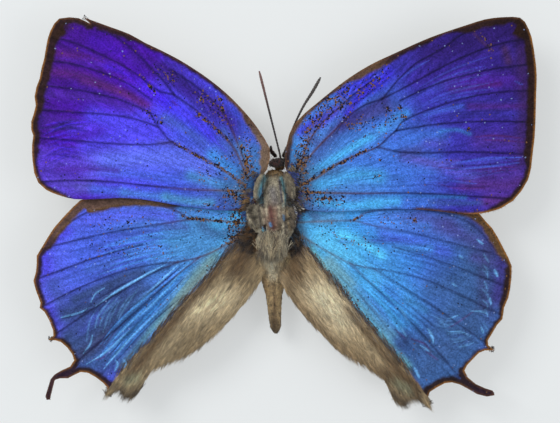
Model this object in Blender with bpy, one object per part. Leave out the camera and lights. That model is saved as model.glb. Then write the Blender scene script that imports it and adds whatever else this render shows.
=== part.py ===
"""A set hairstreak butterfly with broad blue wings and one tail on each hindwing.

Metres, +Z up. The butterfly lies on its legs and its thorax, wings spread, back up. The flat
underside of the thorax is at the origin, the head points along +Y, and the insect's own right
is +X. Each wing is a thin closed sheet with its veins raised above and below, and the
forewings lie over the hindwings. The two sides differ a little, as they do in a real one.
"""
import math

import bmesh
import bpy
from mathutils import Matrix, Vector
from mathutils.geometry import delaunay_2d_cdt

MM = 0.001

# Wings, in millimetres. A wing climbs from its root by TIP_RISE at HALF_SPAN from the body.
FOREWING_LEVEL = 5.0
HINDWING_LEVEL = 4.4
WING_THICKNESS = 0.24
TIP_RISE = 1.0
HALF_SPAN = 30.0
VEIN_HEIGHT = 0.12
VEIN_HALF_WIDTH = 0.32
EDGE_STEP = 1.6
VEIN_STEP = 2.7
FIELD_STEP = 3.2
FIELD_MARGIN = 1.0

# Sides of the round body parts.
THORAX_SIDES = 20
ABDOMEN_SIDES = 14
ROD_RESOLUTION = 2

# Thorax rings in millimetres: middle x, y, half width, lowest z, highest z. The rings that dip
# below zero are flattened there, which makes the face that the butterfly rests on.
THORAX_RINGS = [
    (0.0, 4.25, 0.5, 2.5, 3.5),
    (0.0, 4.1, 0.85, 2.0, 4.0),
    (0.0, 3.6, 1.2, 1.35, 4.65),
    (0.0, 2.9, 1.6, 0.65, 5.25),
    (0.0, 2.0, 1.95, 0.0, 5.8),
    (0.0, 0.8, 2.15, -0.3, 6.05),
    (0.0, -0.6, 2.2, -0.3, 6.1),
    (-0.05, -2.0, 2.15, -0.2, 6.0),
    (-0.15, -3.4, 1.9, 0.1, 5.6),
    (-0.25, -4.5, 1.7, 0.6, 5.1),
    (-0.3, -5.15, 1.5, 1.2, 4.65),
    (-0.3, -5.4, 1.2, 1.6, 4.3),
]

# Hair-covered lobes that spread from the back of the thorax over the wing roots:
# centre and half sizes in millimetres.
THORAX_LOBES = [
    ((-2.35, -1.4, 5.76), (1.6, 1.55, 0.3)),
    ((1.75, -1.6, 5.76), (1.3, 1.45, 0.3)),
]

# Abdomen: y and half width at its front, at the groove behind each segment and at its tip.
# It bends a little to the left at the front, and sinks towards the tip.
ABDOMEN_FRONT = (-5.75, 1.45)
ABDOMEN_GROOVES = [
    (-6.9, 1.75),
    (-8.3, 1.48),
    (-9.7, 1.22),
    (-11.0, 1.02),
    (-12.3, 0.87),
    (-13.5, 0.8),
    (-14.6, 0.7),
]
ABDOMEN_END = (-15.2, 0.5)
ABDOMEN_TIP = (-15.65, 0.2)
ABDOMEN_BEND = -0.33
ABDOMEN_LEVELS = (3.0, 2.5)
GROOVE_DEPTH = 0.1
GROOVE_LENGTH = 0.14

# Head and eyes, in millimetres. The head is turned a little, so its crown lies right of the
# middle line. Flat cuts part it from the eyes.
HEAD_CENTRE = (0.55, 5.0, 2.9)
HEAD_HALF_SIZES = (0.95, 0.65, 0.95)
HEAD_CUTS = (0.08, 1.02)
EYE_HALF_SIZES = (0.7, 0.5, 0.75)
EYES = [
    ("left_eye", (0.0, 5.05, 2.95), -0.1, -1),
    ("right_eye", (1.1, 5.05, 2.95), 1.2, 1),
]

# Scales that cap the wing roots: centre, half sizes and turn about Z.
TEGULA_HALF_SIZES = (0.62, 1.65, 0.24)
TEGULAE = [
    ("left_tegula", (-1.85, 2.25, 5.74), -16.0),
    ("right_tegula", (1.75, 2.35, 5.74), 16.0),
]

# Rods in millimetres: each point is x, y, z and the radius there.
ANTENNAE = {
    "left_antenna": [
        (0.8, 5.1, 4.07, 0.14),
        (0.62, 6.0, 4.3, 0.12),
        (0.03, 8.4, 4.6, 0.12),
        (-0.6, 10.9, 4.9, 0.13),
        (-1.22, 13.4, 5.1, 0.15),
        (-1.67, 15.2, 5.2, 0.16),
        (-1.9, 16.1, 5.2, 0.09),
    ],
    "right_antenna": [
        (0.98, 4.75, 3.95, 0.14),
        (1.2, 5.9, 4.08, 0.12),
        (1.6, 7.6, 4.22, 0.12),
        (2.17, 9.3, 4.4, 0.12),
        (3.34, 11.75, 4.8, 0.15),
        (4.5, 13.6, 5.1, 0.2),
        (5.15, 14.75, 5.2, 0.19),
        (5.48, 15.35, 5.2, 0.1),
    ],
}
PALPS = {
    "left_palp": [
        (0.1, 5.95, 2.6, 0.16),
        (-0.25, 6.3, 3.0, 0.2),
        (-0.5, 6.65, 3.5, 0.16),
        (-0.5, 7.1, 3.95, 0.08),
    ],
    "right_palp": [
        (0.98, 5.95, 2.5, 0.16),
        (1.2, 6.3, 2.8, 0.2),
        (1.35, 6.65, 3.15, 0.16),
        (1.35, 7.05, 3.5, 0.08),
    ],
}

# Legs of the right side. Those of the left side are their mirror images.
LEGS = {
    "foreleg": [
        (1.75, 3.3, 0.5, 0.26),
        (2.5, 4.2, 1.1, 0.28),
        (3.0, 4.1, 1.0, 0.2),
        (3.2, 3.0, 0.45, 0.17),
        (3.05, 1.9, 0.15, 0.13),
        (2.8, 0.9, 0.15, 0.1),
    ],
    "midleg": [
        (2.3, 0.3, 0.55, 0.28),
        (3.3, 0.5, 1.4, 0.3),
        (3.9, 0.0, 1.2, 0.22),
        (4.2, -1.4, 0.45, 0.18),
        (4.1, -2.6, 0.15, 0.13),
        (3.8, -3.7, 0.15, 0.1),
    ],
    "hindleg": [
        (2.25, -2.6, 0.6, 0.28),
        (3.1, -3.4, 1.4, 0.3),
        (3.5, -4.6, 1.2, 0.22),
        (3.5, -6.1, 0.45, 0.18),
        (3.1, -7.4, 0.15, 0.13),
        (2.6, -8.4, 0.15, 0.1),
    ],
}

# The proboscis, coiled in an upright plane between the palps.
COIL_CENTRE = (0.55, 6.4, 2.0)
COIL_RADII = (0.5, 0.16)
COIL_TURNS = 1.75
COIL_POINTS = 17
COIL_THREAD = 0.06

# Wing outlines in millimetres, seen from above, once round from the front of the root.
LEFT_FOREWING = [
    (-1.55, 3.5), (-0.95, 4.3), (-0.6, 5.65), (-0.65, 6.85), (-1.2, 7.9), (-2.05, 9.2),
    (-3.1, 10.55), (-4.45, 12.05), (-6, 13.55), (-7.8, 15), (-9.6, 16.25), (-11.65, 17.5),
    (-13.8, 18.6), (-15.6, 19.45), (-17.4, 20.45), (-19.55, 21.25), (-21.5, 21.95), (-23, 22.5),
    (-22.55, 22.15), (-22.15, 21.7), (-22.8, 22.05), (-23.5, 22.35), (-24.6, 22.45), (-25.8, 22.3),
    (-26.4, 21.7), (-26.9, 20.75), (-27.2, 19.8), (-27.4, 18.7), (-27.6, 17.5), (-27.9, 16.45),
    (-28.15, 15.1), (-28.55, 14.05), (-28.75, 12.95), (-28.6, 11.9), (-28.85, 10.9),
    (-29.15, 9.95), (-29.15, 9), (-28.9, 8.3), (-29.05, 7.2), (-29, 5.4), (-28.8, 3.85),
    (-28.3, 2.65), (-27.35, 1.8), (-25.8, 1.15), (-24, 0.7), (-21.6, 0.7), (-18.6, 0.85),
    (-16.2, 0.7), (-13.8, 0.35), (-11.4, -0.1), (-9, -0.4), (-6.6, -0.65), (-4.45, -0.65),
    (-3, -0.35), (-2.35, 0.3), (-2.15, 1.2), (-2.0, 2.4),
]
RIGHT_FOREWING = [
    (1.55, 3.5), (1.25, 4.55), (1.2, 5.75), (1.4, 7.2), (1.7, 8.5), (2.5, 9.95), (3.6, 11.05),
    (5.05, 12.25), (6.7, 13.6), (8.4, 14.9), (10.2, 16.1), (12.1, 17.15), (14.4, 18.2),
    (16.8, 19.3), (18.85, 20.15), (21, 20.9), (23.15, 21.6), (25.1, 22.2), (27, 22.45),
    (28.45, 22.5), (29.3, 22.4), (29.9, 21.9), (30.35, 21), (30.7, 20.05), (30.95, 18.7),
    (31.15, 17.3), (31.3, 15.5), (31.25, 13.55), (31.2, 11.75), (31.15, 9.95), (31.05, 8.05),
    (30.8, 6), (30.65, 4.55), (30.25, 3), (29.5, 1.7), (28.45, 0.5), (27.1, -0.35), (25.55, -0.85),
    (23.75, -1.1), (21.6, -1), (19.55, -0.75), (17.4, -0.55), (15, -0.5), (12.6, -0.5),
    (10.45, -0.65), (8.4, -0.8), (6, -0.85), (4.2, -0.65), (2.9, -0.25), (2.35, 0.35),
    (2.15, 1.2), (2.0, 2.4),
]
LEFT_HINDWING = [
    (-2.9, -0.8), (-4.45, -0.4), (-6.6, 0.25), (-9.6, 1.1), (-13.2, 1.75), (-16.8, 1.9),
    (-19.8, 1.6), (-21.95, 1.1), (-23.4, 0.55), (-24.35, -0.35), (-25.45, -1.5), (-26.5, -2.7),
    (-27.4, -4.1), (-28.15, -5.35), (-28.6, -6.1), (-28.6, -7.1), (-28.7, -8.05), (-29, -9.1),
    (-28.75, -10.1), (-28.4, -11.05), (-28.15, -11.75), (-28.25, -12.35), (-27.65, -12.85),
    (-27.1, -13.85), (-26.65, -15), (-26.6, -15.7), (-27.25, -16.2), (-26.35, -16.25),
    (-25.7, -16.45), (-24.95, -17.1), (-24.35, -17.9), (-24.1, -18.65), (-24.6, -19.4),
    (-25.7, -19.9), (-26.45, -20.35), (-26.95, -20.95), (-27.25, -21.95), (-27.55, -22.9),
    (-27.4, -23.4), (-27.05, -23.35), (-26.7, -21.95), (-26.45, -21), (-25.8, -20.8),
    (-24.85, -20.8), (-24.1, -20.4), (-23.35, -20.05), (-22.45, -20.15), (-21.5, -20.7),
    (-20.65, -21.35), (-20.1, -21.95), (-20.3, -22.85), (-19.7, -22.6), (-18.85, -22.15),
    (-18, -22.9), (-17.3, -23.15), (-16.55, -22.6), (-16.1, -21.7), (-15.5, -20.75),
    (-14.9, -19.85), (-13.7, -19.3), (-12.35, -18.7), (-10.9, -18.2), (-9.7, -17.5), (-8.4, -16.5),
    (-6.95, -15.25), (-5.5, -13.8), (-4.2, -12.25), (-3, -10.8), (-2.15, -9.7), (-1.8, -8.65),
    (-1.7, -7.45), (-1.8, -5.65), (-1.9, -4.6), (-2.2, -3.4), (-2.5, -2.0),
]
RIGHT_HINDWING = [
    (2.75, -0.8), (4.45, -0.35), (6.6, 0.25), (9.6, 0.8), (13.2, 0.95), (16.8, 0.7), (20.4, 0.25),
    (22.9, -0.35), (24.6, -1.1), (25.2, -1.85), (26.05, -2.75), (26.75, -3.9), (27.4, -5.15),
    (28, -6.3), (28.4, -7.3), (28.4, -8.5), (28.25, -9.95), (28, -11.15), (27.5, -12.3),
    (27.3, -13.7), (26.65, -14.4), (26.1, -15.35), (25.55, -16.25), (25.6, -16.85),
    (26.35, -17.45), (25.2, -17.45), (24.5, -17.75), (23.75, -18.5), (23.05, -19.25),
    (22.75, -19.9), (23.15, -20.7), (24.1, -21.5), (25.2, -22), (26.15, -22.3), (26.35, -22.8),
    (25.45, -23), (24.25, -22.7), (23.05, -22), (22.2, -21.55), (21.25, -21.3), (20.4, -21.4),
    (19.55, -21.85), (18.6, -22.45), (18.35, -23.15), (18.5, -24.2), (17.6, -23.5), (16.8, -23.15),
    (15.95, -23.6), (15.25, -24.05), (14.5, -23.6), (14, -22.55), (13.6, -21.5), (13.25, -20.95),
    (12, -20.1), (10.8, -19.25), (9.6, -18.7), (8.15, -17.8), (6.95, -16.85), (5.65, -15.4),
    (4.3, -14.1), (3.1, -12.7), (2.15, -11.45), (1.45, -10.45), (1.15, -9.7), (1.3, -8.4),
    (1.55, -6.85), (1.8, -5.15), (2.0, -4.3), (2.25, -3.3), (2.5, -2.0),
]

# Veins of each wing, from the root outwards: subcosta, radius and its two branches, media 1,
# media 3, cubitus and its two branches, anal vein. A hindwing has no separate radius stem.
LEFT_FOREWING_VEINS = [
    [(-3.25, 3.95), (-4.1, 6.35), (-5.15, 9), (-6.35, 11.15), (-8.15, 13.1), (-10.2, 14.75),
     (-12.6, 16.3)],
    [(-3.5, 3.5), (-4.2, 5.4), (-5.05, 6.95), (-6.35, 8.5), (-8.4, 10.45), (-10.2, 11.9),
     (-12.1, 13.2)],
    [(-12.1, 13.2), (-13.2, 14.65), (-15, 16.55), (-16.8, 18.35), (-18.85, 20), (-21.35, 21.05)],
    [(-12.1, 13.2), (-14.05, 13.75), (-15.85, 15.1), (-18, 16.55), (-21, 18.1), (-24, 19.4),
     (-26.75, 20.1)],
    [(-14.75, 12.6), (-17.4, 14.4), (-19.8, 15.5), (-22.8, 16.5), (-25.2, 17.05), (-27.1, 17.3)],
    [(-15, 11.05), (-16.45, 11.75), (-18.6, 12.6), (-21, 13.25), (-24, 13.85), (-27.7, 14.3)],
    [(-3.5, 2.3), (-5.05, 3.35), (-7.2, 4.8), (-9.95, 6.35), (-12.35, 7.55), (-13.7, 9),
     (-15, 11.05)],
    [(-14.05, 9.35), (-15.5, 9.9), (-17.65, 10.5), (-20.4, 10.85), (-24, 11.1), (-28.3, 11.4)],
    [(-12.35, 7.55), (-15, 7.25), (-18.6, 7.3), (-22.2, 7.55), (-25.8, 7.85), (-28.55, 8.05)],
    [(-3.25, 1.7), (-6.6, 1.75), (-10.8, 1.9), (-15, 2.3), (-19.2, 2.75), (-23.4, 2.95),
     (-27.85, 2.8)],
]
RIGHT_FOREWING_VEINS = [
    [(2.9, 4.45), (3.5, 6.35), (4.3, 8.05), (5.65, 9.85), (7.45, 11.5), (9.35, 13.2),
     (11.9, 15.1)],
    [(3.1, 3.95), (3.85, 5.4), (5.15, 6.95), (6.95, 8.75), (8.9, 10.7), (10.8, 12),
     (12.85, 12.7)],
    [(12.85, 12.7), (14.75, 15), (16.8, 16.9), (18.6, 17.9), (20.3, 18.9), (22.2, 20.3),
     (24.35, 21.2)],
    [(12.85, 12.7), (15, 13.8), (17.4, 15.1), (20.4, 16.7), (23.4, 18.1), (27, 19.3),
     (30.35, 19.9)],
    [(15, 12.5), (17.15, 13.55), (19.8, 14.65), (22.8, 15.55), (26.4, 16.3), (30.7, 16.85)],
    [(14.5, 8.9), (15.25, 9.95), (17.15, 10.9), (19.8, 11.9), (22.8, 12.8), (26.4, 13.45),
     (30.85, 13.7)],
    [(3, 2.4), (5.15, 3.35), (7.8, 5.15), (10.45, 6.25), (12.25, 6.95), (13.55, 8.1),
     (14.5, 8.9)],
    [(14.5, 8.9), (16.8, 9.3), (19.8, 9.7), (23.4, 9.95), (27, 10), (30.7, 9.9)],
    [(12.25, 6.95), (15, 6.35), (18.6, 6.25), (22.2, 6.35), (26.4, 6.25), (30.5, 6)],
    [(3, 1.6), (6.6, 1.45), (10.8, 1.4), (15, 1.45), (19.8, 1.3), (24, 1), (28.1, 0.75)],
]
LEFT_HINDWING_VEINS = [
    [(-3, -2.3), (-4.8, -2.05), (-7.55, -1.85), (-10.3, -1.7)],
    [(-10.3, -1.7), (-12.1, -0.6), (-14.75, 0), (-17.65, 0.05), (-20.65, -0.4), (-23.05, -1.1),
     (-25.1, -2.5), (-26.5, -4.1)],
    [(-10.3, -1.7), (-13.2, -2.2), (-16.2, -2.65), (-19.55, -3.25), (-23.4, -4.1),
     (-27.85, -5.2)],
    [(-15.95, -4.75), (-18.6, -5.4), (-21.6, -6.35), (-24.85, -7.5), (-28.2, -8.75)],
    [(-3.25, -3.1), (-5.15, -4.3), (-7.2, -5.5), (-9.35, -6.35), (-11.65, -6.85)],
    [(-11.65, -6.85), (-14.4, -7.1), (-17.4, -7.7), (-20.4, -8.65), (-23.65, -10), (-27.6, -12)],
    [(-11.65, -6.85), (-15, -8.35), (-18, -10.1), (-21.25, -12.05), (-24, -13.9), (-26.4, -15.5)],
    [(-9, -6.25), (-11.4, -8.1), (-14.4, -10.75), (-17.4, -13.4), (-20.65, -16.2),
     (-23.9, -18.85)],
    [(-4.7, -6), (-7.45, -8.4), (-10.45, -11.4), (-13.55, -15.1), (-16.2, -17.9), (-19.1, -21)],
]
RIGHT_HINDWING_VEINS = [
    [(2.75, -2.1), (4.8, -2), (7.2, -1.9), (9.5, -1.85)],
    [(9.5, -1.85), (11.15, -0.85), (13.8, -0.5), (16.8, -0.5), (19.8, -0.9), (22.45, -1.75),
     (24.35, -2.9), (26.3, -5.15)],
    [(9.5, -1.85), (12.6, -2.65), (16.2, -3.3), (19.8, -4.2), (24, -5.25), (27.5, -6.2)],
    [(14.15, -5), (17.4, -5.95), (21, -7.15), (24.35, -8.45), (27.95, -9.85)],
    [(2.9, -3.5), (4.1, -4.3), (6.6, -5.75), (9, -7), (10.9, -7.5)],
    [(10.9, -7.5), (14.4, -8.05), (18, -8.95), (21.6, -10.45), (24.6, -12), (27.25, -13.2)],
    [(12, -7.8), (15, -9.6), (18.6, -11.9), (22.2, -14.4), (25.3, -16.55)],
    [(9, -7), (12, -9.85), (15, -12.7), (18, -15.9), (20.4, -18.6), (22.1, -20.65)],
    [(3.5, -4.9), (5.4, -7.2), (8.15, -10.8), (11.15, -14.7), (14.4, -18.5), (17.3, -21.7)],
]


# Materials

def material(name, colour, roughness, metallic=0.0):
    """A Principled material in one colour."""
    made = bpy.data.materials.new(name)
    made.use_nodes = True
    shader = made.node_tree.nodes["Principled BSDF"]
    shader.inputs["Base Color"].default_value = (*colour, 1.0)
    shader.inputs["Roughness"].default_value = roughness
    shader.inputs["Metallic"].default_value = metallic
    return made


# Curves

def curve_point(before, start, end, after, share):
    """The point at a share of the way from start to end on a curve that never loops."""
    t1 = math.sqrt((start - before).length)
    t2 = t1 + math.sqrt((end - start).length)
    t3 = t2 + math.sqrt((after - end).length)
    t = t1 + (t2 - t1) * share
    first = before.lerp(start, t / t1)
    middle = start.lerp(end, (t - t1) / (t2 - t1))
    last = end.lerp(after, (t - t2) / (t3 - t2))
    inner = first.lerp(middle, t / t2)
    outer = middle.lerp(last, (t - t1) / (t3 - t1))
    return inner.lerp(outer, (t - t1) / (t2 - t1))


def smooth(points, step, closed=False):
    """Points at most a step apart on a smooth curve through all the given ones."""
    points = [Vector(point) for point in points]
    if closed:
        points = [points[-1], *points, points[0], points[1]]
    else:
        points = [2 * points[0] - points[1], *points, 2 * points[-1] - points[-2]]
    result = []
    for before, start, end, after in zip(points, points[1:], points[2:], points[3:]):
        pieces = max(1, math.ceil((end - start).length / step))
        for piece in range(pieces):
            result.append(curve_point(before, start, end, after, piece / pieces))
    if not closed:
        result.append(points[-2])
    return result


def distance_to_line(point, line):
    """How far a flat point is from the nearest part of a line of points."""
    nearest = math.inf
    for start, end in zip(line, line[1:]):
        along = end - start
        share = (point - start).dot(along) / along.length_squared
        closest = start + along * min(1.0, max(0.0, share))
        nearest = min(nearest, (point - closest).length)
    return nearest


def is_inside(point, loop):
    """Whether a flat point lies inside a closed loop of points."""
    inside = False
    for start, end in zip(loop, [*loop[1:], loop[0]]):
        if (start.y > point.y) != (end.y > point.y):
            crossing = start.x + (end.x - start.x) * (point.y - start.y) / (end.y - start.y)
            if point.x < crossing:
                inside = not inside
    return inside


# Solids

def add_object(name, mesh, finish):
    """Put a mesh or curve into the scene as a named object."""
    mesh.materials.append(finish)
    made = bpy.data.objects.new(name, mesh)
    bpy.context.scene.collection.objects.link(made)
    return made


def add_shape(name, shape, finish, crease_degrees=40.0):
    """Turn a bmesh in millimetres into an object in metres, smooth but for its creases."""
    bmesh.ops.scale(shape, vec=(MM, MM, MM), verts=shape.verts)
    bmesh.ops.recalc_face_normals(shape, faces=shape.faces)
    mesh = bpy.data.meshes.new(name)
    shape.to_mesh(mesh)
    shape.free()
    mesh.shade_smooth()
    mesh.set_sharp_from_angle(angle=math.radians(crease_degrees))
    return add_object(name, mesh, finish)


def ring_points(centre_x, y, half_width, low, high, sides):
    """An upright oval ring of points, flattened where it would dip below the ground."""
    centre_z = (low + high) / 2
    half_height = (high - low) / 2
    points = []
    for side in range(sides):
        turn = math.tau * (side + 0.5) / sides
        x = centre_x + half_width * math.cos(turn)
        z = centre_z + half_height * math.sin(turn)
        points.append((x, y, max(0.0, z)))
    return points


def lofted(rings):
    """A closed skin over rings of points, with a flat cap at each end."""
    shape = bmesh.new()
    rows = [[shape.verts.new(point) for point in ring] for ring in rings]
    for row, following in zip(rows, rows[1:]):
        for i, corner in enumerate(row):
            beside = (i + 1) % len(row)
            shape.faces.new((corner, row[beside], following[beside], following[i]))
    shape.faces.new(rows[0])
    shape.faces.new(rows[-1])
    return shape


def ellipsoid(centre, half_sizes, turn_degrees=0.0, segments=14, rings=9):
    """A closed ellipsoid, turned about Z."""
    shape = bmesh.new()
    bmesh.ops.create_uvsphere(shape, u_segments=segments, v_segments=rings, radius=1.0)
    place = Matrix.Translation(centre) @ Matrix.Rotation(math.radians(turn_degrees), 4, "Z")
    size = Matrix.Diagonal((*half_sizes, 1.0))
    bmesh.ops.transform(shape, matrix=place @ size, verts=shape.verts)
    return shape


def cut_flat(shape, x, keep_side):
    """Cut a closed shape at an upright plane and close the cut, keeping one side."""
    everything = [*shape.verts, *shape.edges, *shape.faces]
    bmesh.ops.bisect_plane(
        shape, geom=everything, plane_co=(x, 0, 0), plane_no=(-keep_side, 0, 0), clear_outer=True
    )
    open_edges = [edge for edge in shape.edges if edge.is_boundary]
    bmesh.ops.contextual_create(shape, geom=open_edges)


def rod(name, path, finish, step=0.8):
    """A round tapering rod along points of x, y, z and radius, closed at both ends."""
    curve = bpy.data.curves.new(name, "CURVE")
    curve.dimensions = "3D"
    curve.bevel_depth = MM
    curve.bevel_resolution = ROD_RESOLUTION
    curve.use_fill_caps = True
    places = smooth(path, step)
    spline = curve.splines.new("POLY")
    spline.points.add(len(places) - 1)
    for point, place in zip(spline.points, places):
        point.co = (place[0] * MM, place[1] * MM, place[2] * MM, 1.0)
        point.radius = place[3]
    return add_object(name, curve, finish)


# Wings

def wing_level(root_level, x):
    """Height of a wing's middle surface: steepest at the root and flat at the tip."""
    share = abs(x) / HALF_SPAN
    return root_level + TIP_RISE * (2 * share - share * share)


def vein_flanks(crest):
    """Points beside a vein where its ridge meets the flat of the wing."""
    flanks = []
    for i, point in enumerate(crest):
        along = crest[min(i + 1, len(crest) - 1)] - crest[max(i - 1, 0)]
        across = Vector((-along.y, along.x)).normalized() * VEIN_HALF_WIDTH
        flanks += [point + across, point - across]
    return flanks


def field_points(edge):
    """A sparse staggered grid over the wing's extent."""
    left = min(point.x for point in edge)
    right = max(point.x for point in edge)
    low = min(point.y for point in edge)
    high = max(point.y for point in edge)
    row_step = FIELD_STEP * math.sqrt(3) / 2
    points = []
    for row in range(math.ceil((high - low) / row_step)):
        for column in range(math.ceil((right - left) / FIELD_STEP) + 1):
            x = left + FIELD_STEP * (column + row % 2 / 2)
            points.append(Vector((x, low + row_step * row)))
    return points


def wing_plan(edge, crests):
    """The wing seen from above, as flat points and triangles that follow every vein."""
    border = [*edge, edge[0]]
    points = list(edge)
    lines = [(i, (i + 1) % len(edge)) for i in range(len(edge))]
    for crest in crests:
        start = len(points)
        points += crest
        lines += [(start + i, start + i + 1) for i in range(len(crest) - 1)]
    for crest in crests:
        for point in vein_flanks(crest):
            on_wing = is_inside(point, edge) and distance_to_line(point, border) > VEIN_HALF_WIDTH
            clearance = min(distance_to_line(point, other) for other in crests)
            if on_wing and clearance > 0.8 * VEIN_HALF_WIDTH:
                points.append(point)
    for point in field_points(edge):
        clearance = min(distance_to_line(point, line) for line in [border, *crests])
        if is_inside(point, edge) and clearance > FIELD_MARGIN:
            points.append(point)
    inside_only = 1
    plan = delaunay_2d_cdt(points, lines, [], inside_only, 1e-5)
    return plan[0], plan[2]


def wing(name, outline, veins, root_level, finish):
    """A thin closed wing, thickened above and below along its veins."""
    edge = smooth(outline, EDGE_STEP, closed=True)
    crests = [smooth(vein, VEIN_STEP) for vein in veins]
    points, triangles = wing_plan(edge, crests)
    shape = bmesh.new()
    upper = []
    lower = []
    for point in points:
        nearness = 1 - min(distance_to_line(point, crest) for crest in crests) / VEIN_HALF_WIDTH
        half = WING_THICKNESS / 2 + VEIN_HEIGHT * max(0.0, nearness)
        middle = wing_level(root_level, point.x)
        upper.append(shape.verts.new((point.x, point.y, middle + half)))
        lower.append(shape.verts.new((point.x, point.y, middle - half)))
    for triangle in triangles:
        shape.faces.new([upper[i] for i in triangle])
        shape.faces.new([lower[i] for i in reversed(triangle)])
    below = dict(zip(upper, lower))
    for rim in [side for side in shape.edges if side.is_boundary]:
        start, end = rim.verts
        if start in below:
            shape.faces.new((start, end, below[end], below[start]))
    return add_shape(name, shape, finish, crease_degrees=60.0)


# The pieces

def make_thorax(finish):
    """The thorax, with the lobes over the wing roots grown into it."""
    rings = [ring_points(*ring, THORAX_SIDES) for ring in THORAX_RINGS]
    thorax = add_shape("thorax", lofted(rings), finish)
    for number, (centre, half_sizes) in enumerate(THORAX_LOBES):
        lobe_shape = ellipsoid(centre, half_sizes, segments=12, rings=6)
        lobe = add_shape(f"lobe_shape_{number}", lobe_shape, finish)
        lobe.hide_render = True
        lobe.display_type = "WIRE"
        union = thorax.modifiers.new(lobe.name, "BOOLEAN")
        union.operation = "UNION"
        union.solver = "EXACT"
        union.object = lobe


def abdomen_ring(y, half_width):
    """One upright ring of the abdomen, on its bent and sinking middle line."""
    share = (ABDOMEN_FRONT[0] - y) / (ABDOMEN_FRONT[0] - ABDOMEN_TIP[0])
    centre_x = ABDOMEN_BEND * (1 - share * share)
    centre_z = ABDOMEN_LEVELS[0] + (ABDOMEN_LEVELS[1] - ABDOMEN_LEVELS[0]) * share
    low = centre_z - half_width
    high = centre_z + half_width
    return ring_points(centre_x, y, half_width, low, high, ABDOMEN_SIDES)


def make_abdomen(finish):
    """The abdomen, whose segments taper to the tip with a shallow groove behind each."""
    rings = [abdomen_ring(*ABDOMEN_FRONT)]
    for y, half_width in ABDOMEN_GROOVES:
        rings.append(abdomen_ring(y + GROOVE_LENGTH, half_width))
        rings.append(abdomen_ring(y, half_width - GROOVE_DEPTH))
        rings.append(abdomen_ring(y - GROOVE_LENGTH, half_width - GROOVE_DEPTH / 4))
    rings.append(abdomen_ring(*ABDOMEN_END))
    rings.append(abdomen_ring(*ABDOMEN_TIP))
    add_shape("abdomen", lofted(rings), finish)


def make_head(finish, eye_finish):
    """The head between two large eyes."""
    head = ellipsoid(HEAD_CENTRE, HEAD_HALF_SIZES, segments=16, rings=10)
    cut_flat(head, HEAD_CUTS[0], 1)
    cut_flat(head, HEAD_CUTS[1], -1)
    add_shape("head", head, finish)
    for name, centre, cut_x, side in EYES:
        eye = ellipsoid(centre, EYE_HALF_SIZES)
        cut_flat(eye, cut_x, side)
        add_shape(name, eye, eye_finish)


def make_proboscis(finish):
    """The proboscis, a flat spiral that starts under the head and winds inwards."""
    path = []
    for i in range(COIL_POINTS):
        share = i / (COIL_POINTS - 1)
        radius = COIL_RADII[0] + (COIL_RADII[1] - COIL_RADII[0]) * share
        turn = math.pi + math.tau * COIL_TURNS * share
        y = COIL_CENTRE[1] + radius * math.cos(turn)
        z = COIL_CENTRE[2] + radius * math.sin(turn)
        path.append((COIL_CENTRE[0], y, z, COIL_THREAD))
    rod("proboscis", path, finish)


def make_legs(finish):
    """Six bent legs, whose feet lie on the ground."""
    for name, path in LEGS.items():
        rod(f"right_{name}", path, finish)
        mirrored = [(-x, y, z, radius) for x, y, z, radius in path]
        rod(f"left_{name}", mirrored, finish)


for old in list(bpy.data.objects):
    bpy.data.objects.remove(old, do_unlink=True)

fur = material("beige hair", (0.42, 0.36, 0.29), 0.85)
dark = material("dark brown cuticle", (0.05, 0.035, 0.03), 0.5)
eye_red = material("maroon eye", (0.12, 0.02, 0.025), 0.3)
violet = material("violet blue scales", (0.1, 0.07, 0.62), 0.35, 0.4)
azure = material("azure scales", (0.05, 0.25, 0.7), 0.35, 0.4)

make_thorax(fur)
make_abdomen(fur)
make_head(fur, eye_red)
for tegula_name, tegula_centre, tegula_turn in TEGULAE:
    tegula = ellipsoid(tegula_centre, TEGULA_HALF_SIZES, tegula_turn, segments=12, rings=7)
    add_shape(tegula_name, tegula, fur)
for antenna_name, antenna_path in ANTENNAE.items():
    rod(antenna_name, antenna_path, dark, step=1.6)
for palp_name, palp_path in PALPS.items():
    rod(palp_name, palp_path, dark, step=0.5)
make_proboscis(dark)
make_legs(dark)
wing("left_forewing", LEFT_FOREWING, LEFT_FOREWING_VEINS, FOREWING_LEVEL, violet)
wing("right_forewing", RIGHT_FOREWING, RIGHT_FOREWING_VEINS, FOREWING_LEVEL, violet)
wing("left_hindwing", LEFT_HINDWING, LEFT_HINDWING_VEINS, HINDWING_LEVEL, azure)
wing("right_hindwing", RIGHT_HINDWING, RIGHT_HINDWING_VEINS, HINDWING_LEVEL, azure)
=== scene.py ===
# %% [markdown]
# A set butterfly is a lesson in thin sheets and fine hair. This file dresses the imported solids
# of one, piece by piece: four scaled wings, a hairy body, the head with its feelers, and six
# legs. All sizes are read in millimetres and turned into metres where a mesh is made.

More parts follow.
